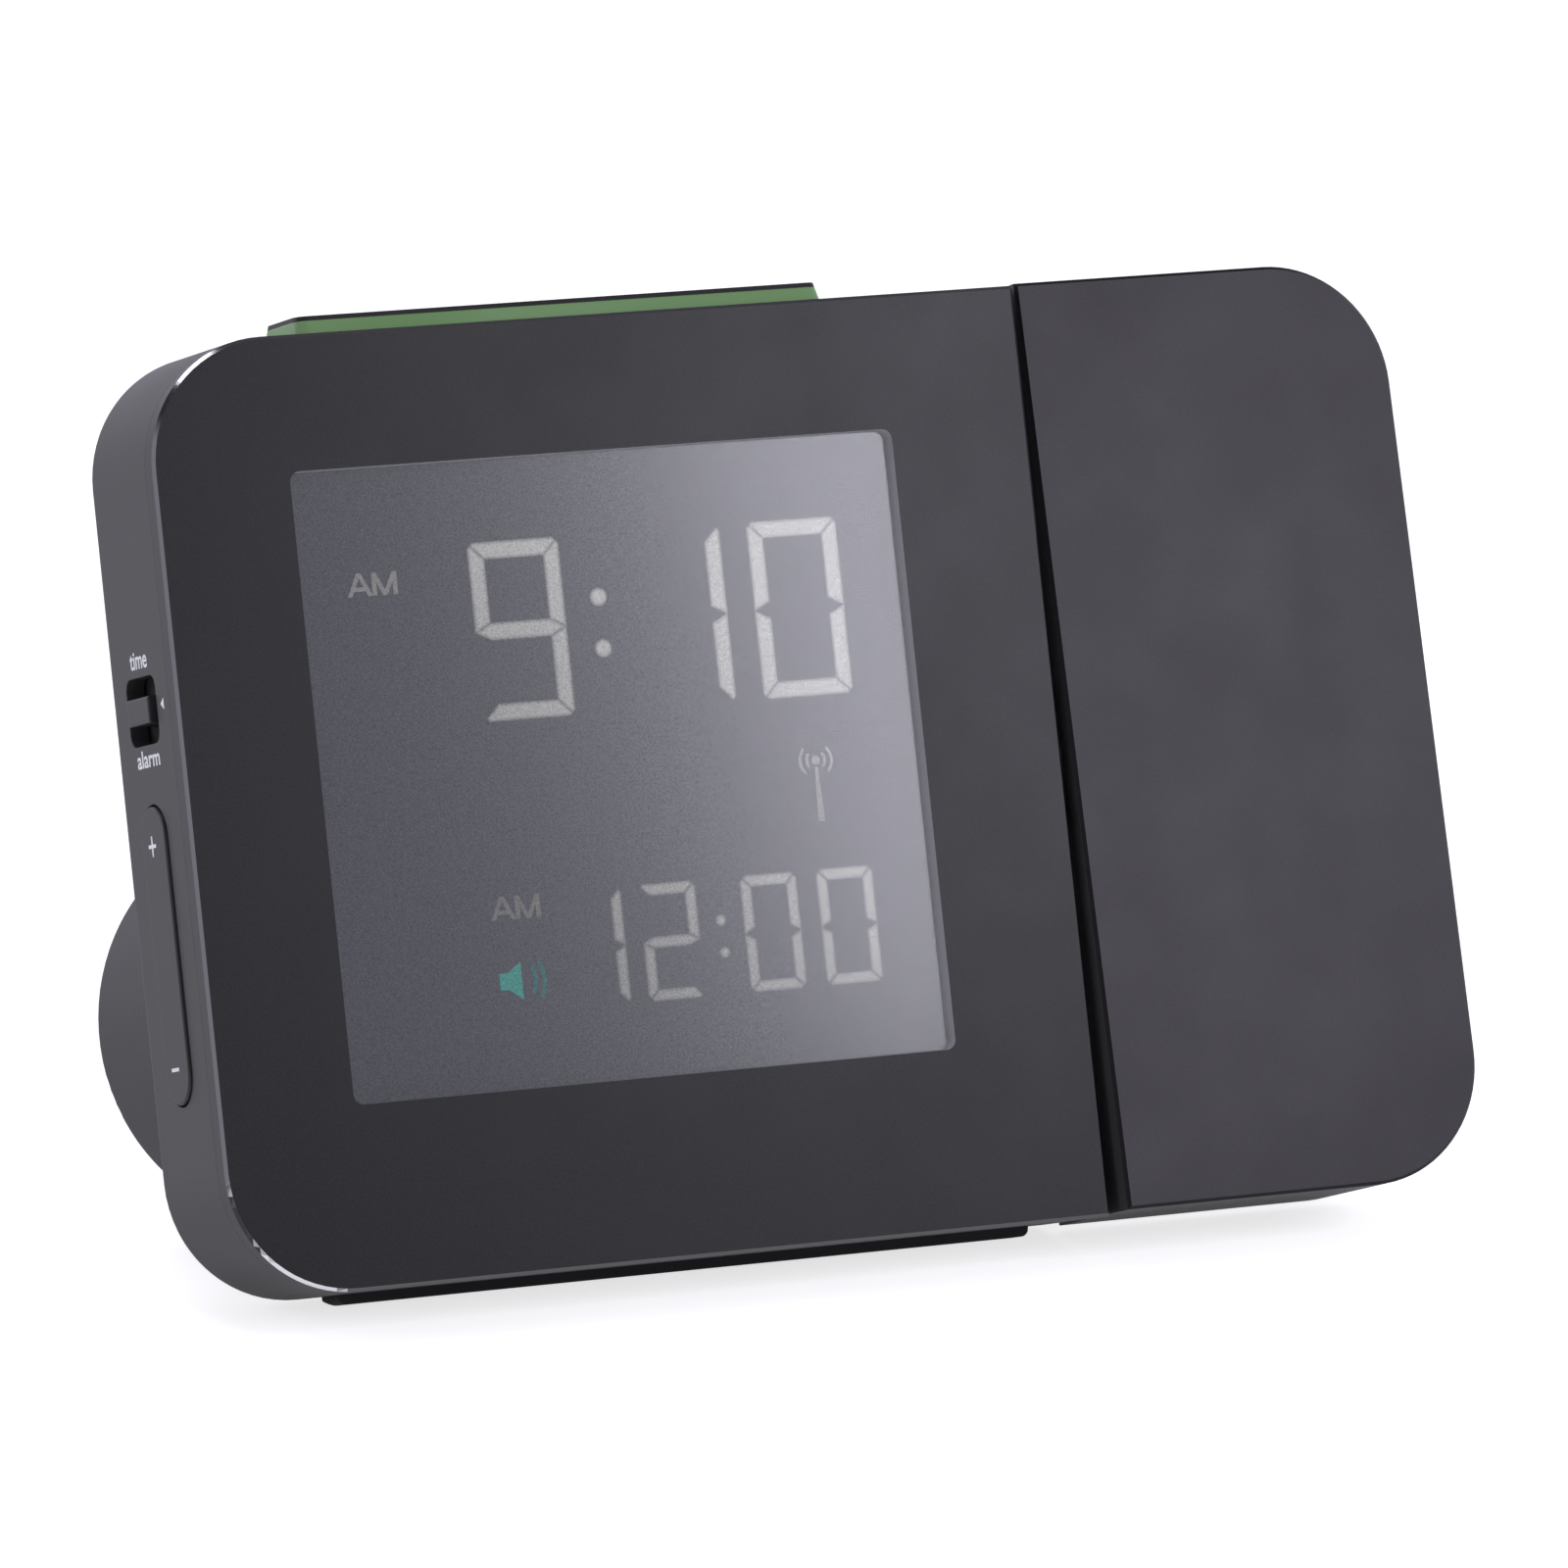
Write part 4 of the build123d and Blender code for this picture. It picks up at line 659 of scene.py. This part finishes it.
# The rear covers, with the battery pod and its door, are moulded with a coarser spark-eroded grain.
# Four blackened screws with cross recesses hold each cover, sunk into it.
REAR_BLACK = (0.032, 0.032, 0.032, 1)
REAR_PALE = (0.043, 0.043, 0.043, 1)
dress(moulded("rear_black", REAR_BLACK, REAR_PALE, grain=0.4, depth=0.03, rough=0.52, edge=0.25,
              specular=0.5), "rear_cover", "head_rear_cover", "battery_cover")
SCREW_HEAD = 1.0
SHANK_R = 1.1
CROSS_REACH = 1.15
CROSS_HALF = 0.3
CROSS_DEPTH = 0.7


def cross_screws(name, node, back, body):
    """Screws with cross recesses for a CAD node's four plain ones, whose heads face along an axis."""
    axes = (RIGHT, RIGHT.cross(back), back)
    points = [[vertex.co.dot(axis) / MM for axis in axes] for vertex in frame["nodes"][node].data.vertices]
    middle = [sum(end(point[i] for point in points) for end in (min, max)) / 2 for i in (0, 1)]
    screws = {}
    for point in points:
        screws.setdefault((point[0] > middle[0], point[1] > middle[1]), []).append(point)
    waist = (CROSS_REACH + CROSS_HALF) / 2
    arm = [(CROSS_REACH, 0), (CROSS_REACH, CROSS_HALF), (waist, CROSS_HALF), (CROSS_HALF, CROSS_HALF),
           (CROSS_HALF, waist), (CROSS_HALF, CROSS_REACH)]
    cross = []
    for _ in range(4):
        cross += arm
        arm = [(-y, x) for x, y in arm]
    stacks = []
    for screw in screws.values():
        low, high = [[end(point[i] for point in screw) for i in range(3)] for end in (min, max)]
        centre = [(low[i] + high[i]) / 2 for i in (0, 1)]
        head = dot(centre, (high[0] - low[0]) / 2)
        shank = dot(centre, SHANK_R)
        recess = [(centre[0] + x, centre[1] + y) for x, y in cross]
        neck = high[2] - SCREW_HEAD
        stacks.append([(shank, low[2]), (shank, neck), (head, neck), (head, high[2]), (recess, high[2]),
                       (recess, high[2] - CROSS_DEPTH)])
    plane = Matrix(axes).transposed().to_4x4() @ Matrix.Scale(MM, 4)
    made = piece(name, stacked(name, stacks, plane), inner["screw_steel"], body)
    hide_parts(node)


cross_screws("cover_cross_screws", "cover_screws", BACK, "clock")
cross_screws("head_cross_screws", "head_screws", head_axis, "head")

# Two cells lie one above the other in the bay, between flat and spring contacts of nickelled steel. Each
# is a steel can in a plain foil jacket.
CELL_DARK = (0.07, 0.075, 0.085, 1)
CELL_PALE = (0.1, 0.105, 0.115, 1)
CELL_ROUGH = 0.25
CELL_SPREAD = 0.1
CELL_METAL = 0.4
CELL_CLOUD = 3.0
material, place = start("cell_jacket")
cloud = speckle(place, CELL_CLOUD)
shade(material, {
    "Base Color": mixed(cloud, CELL_DARK, CELL_PALE),
    "Roughness": cloud * CELL_SPREAD + CELL_ROUGH,
    "Metallic": CELL_METAL,
})
dress(material, "battery_lower", "battery_upper")
dress(inner["contact_nickel"], "battery_springs")

# The feet are moulded in black rubber: a strip that sits in a groove under the slab, and two wedges
# under the pod. The clock stands and leans back on them.
RUBBER_BLACK = (0.03, 0.029, 0.031, 1)
RUBBER_PALE = (0.04, 0.039, 0.041, 1)
dress(moulded("foot_rubber", RUBBER_BLACK, RUBBER_PALE, grain=0.35, depth=0.02, rough=0.62, edge=0.2,
              specular=0.35), "front_foot", "rear_feet")

# The projector's lenses are moulded in clear plastic, and so is the disc in the head's top that the
# light leaves through.
LENS_CLEAR = (0.92, 0.95, 0.97, 1)
LENS_ROUGH = 0.02
LENS_SPREAD = 0.04
LENS_CLOUD = 1.0
LENS_IOR = 1.49
material, place = start("lens_clear")
shade(material, {
    "Base Color": LENS_CLEAR,
    "Roughness": speckle(place, LENS_CLOUD) * LENS_SPREAD + LENS_ROUGH,
    "Transmission Weight": 1.0,
    "IOR": LENS_IOR,
})
dress(material, "eye_window", "condenser_lens", "projection_lens")

# The studio is a white floor in a white room, darker in front and overhead, with three soft boxes: one at
# the front right whose sheen lies on the display, one above, and a large one at the left, behind. The
# camera stands where the photograph was taken.
FLOOR_SIZE = 30.0
FLOOR_WHITE = (0.82, 0.82, 0.82, 1)
FLOOR_ROUGH = 0.9
FLOOR_SEEN = 0.72
FLOOR_MIRRORED = 0.2
DAYLIGHT = (0.96, 0.945, 1.09)
ROOM_DARK = 0.32
ROOM_LIGHT = 0.6
BACKDROP = (-0.25, 0.55)
CEILING = (0.45, 0.7)
CEILING_DIMMED = 0.9
WHITE = (1, 1, 1, 1)
CAMERA_AT = (-409.6, -1082.8, -13.75)
CAMERA_AIM = (59.17, 0.0, 42.99)
CAMERA_ROLL = 1.465
CAMERA_LENS = 291.57
CAMERA_SENSOR = 36.0
CAMERA_REACH = (0.05, 100.0)


def rays(tree):
    """Whether a ray comes from the camera, from a mirror or through glass."""
    light_path = tree.nodes.new("ShaderNodeLightPath")
    return [Value(light_path.outputs[f"Is {kind} Ray"]) for kind in ("Camera", "Glossy", "Transmission")]


bpy.ops.mesh.primitive_plane_add(size=FLOOR_SIZE)
floor = bpy.context.object
floor.name = "floor"
material, place = start("floor_white")
seen, mirrored, refracted = rays(material.node_tree)
shade(material, {
    "Base Color": FLOOR_WHITE,
    "Roughness": FLOOR_ROUGH,
    "Specular IOR Level": 0.0,
    "Emission Color": WHITE,
    "Emission Strength": (seen + refracted) * FLOOR_SEEN + mirrored * FLOOR_MIRRORED,
})
floor.data.materials.append(material)

world = bpy.data.worlds.new("studio")
bpy.context.scene.world = world
world.use_nodes = True
seen, mirrored, refracted = rays(world.node_tree)
direction = Value(world.node_tree.nodes.new("ShaderNodeTexCoord").outputs["Generated"])
behind, above = [direction.make("ShaderNodeSeparateXYZ", {}, {0: direction}, output=axis) for axis in "YZ"]
backdrop = between(behind, *BACKDROP)
plain = backdrop * (ROOM_LIGHT - ROOM_DARK) + ROOM_DARK
room = backdrop * (mirrored + refracted) * (1 - ROOM_LIGHT) + plain
room = room * (1 - mirrored * between(above, *CEILING) * CEILING_DIMMED)
brightness = room * (1 - seen) + seen
tint = mixed(seen, (*DAYLIGHT, 1), WHITE)
feed(world.node_tree.nodes["Background"], {"Color": tint, "Strength": brightness})


def soft_box(name, at, aim, size, radiance):
    """A rectangular lamp in the slab's millimetres, facing a point, with an even brightness."""
    lamp = bpy.data.lights.new(name, "AREA")
    lamp.shape = "RECTANGLE"
    lamp.size = size[0] * MM
    lamp.size_y = size[1] * MM
    lamp.energy = radiance * pi * lamp.size * lamp.size_y
    lamp.color = DAYLIGHT
    made = bpy.data.objects.new(name, lamp)
    made.location = slab @ Vector(at)
    made.rotation_euler = (slab @ Vector(aim) - made.location).to_track_quat("-Z", "Y").to_euler()
    bpy.context.scene.collection.objects.link(made)


soft_box("front_right_box", at=(275, -378, 104), aim=(92, 0, 62), size=(110, 150), radiance=15.0)
soft_box("overhead_box", at=(-162, -132, 752), aim=(10, 0, 80), size=(280, 280), radiance=3.0)
soft_box("left_box", at=(-600, 240, 300), aim=(0, 8, 44), size=(420, 420), radiance=1.75)

camera = bpy.data.objects.new("camera", bpy.data.cameras.new("camera"))
bpy.context.scene.collection.objects.link(camera)
camera.data.lens = CAMERA_LENS
camera.data.sensor_width = CAMERA_SENSOR
camera.data.clip_start, camera.data.clip_end = CAMERA_REACH
eye = slab @ Vector(CAMERA_AT)
ahead = (slab @ Vector(CAMERA_AIM) - eye).normalized()
level = ahead.cross(Vector((0, 0, 1))).normalized()
over = Matrix.Rotation(-radians(CAMERA_ROLL), 3, ahead) @ level
camera.matrix_world = Matrix((over, over.cross(ahead), -ahead)).transposed().to_4x4()
camera.location = eye
bpy.context.scene.camera = camera
bpy.context.scene.view_settings.view_transform = "Standard"
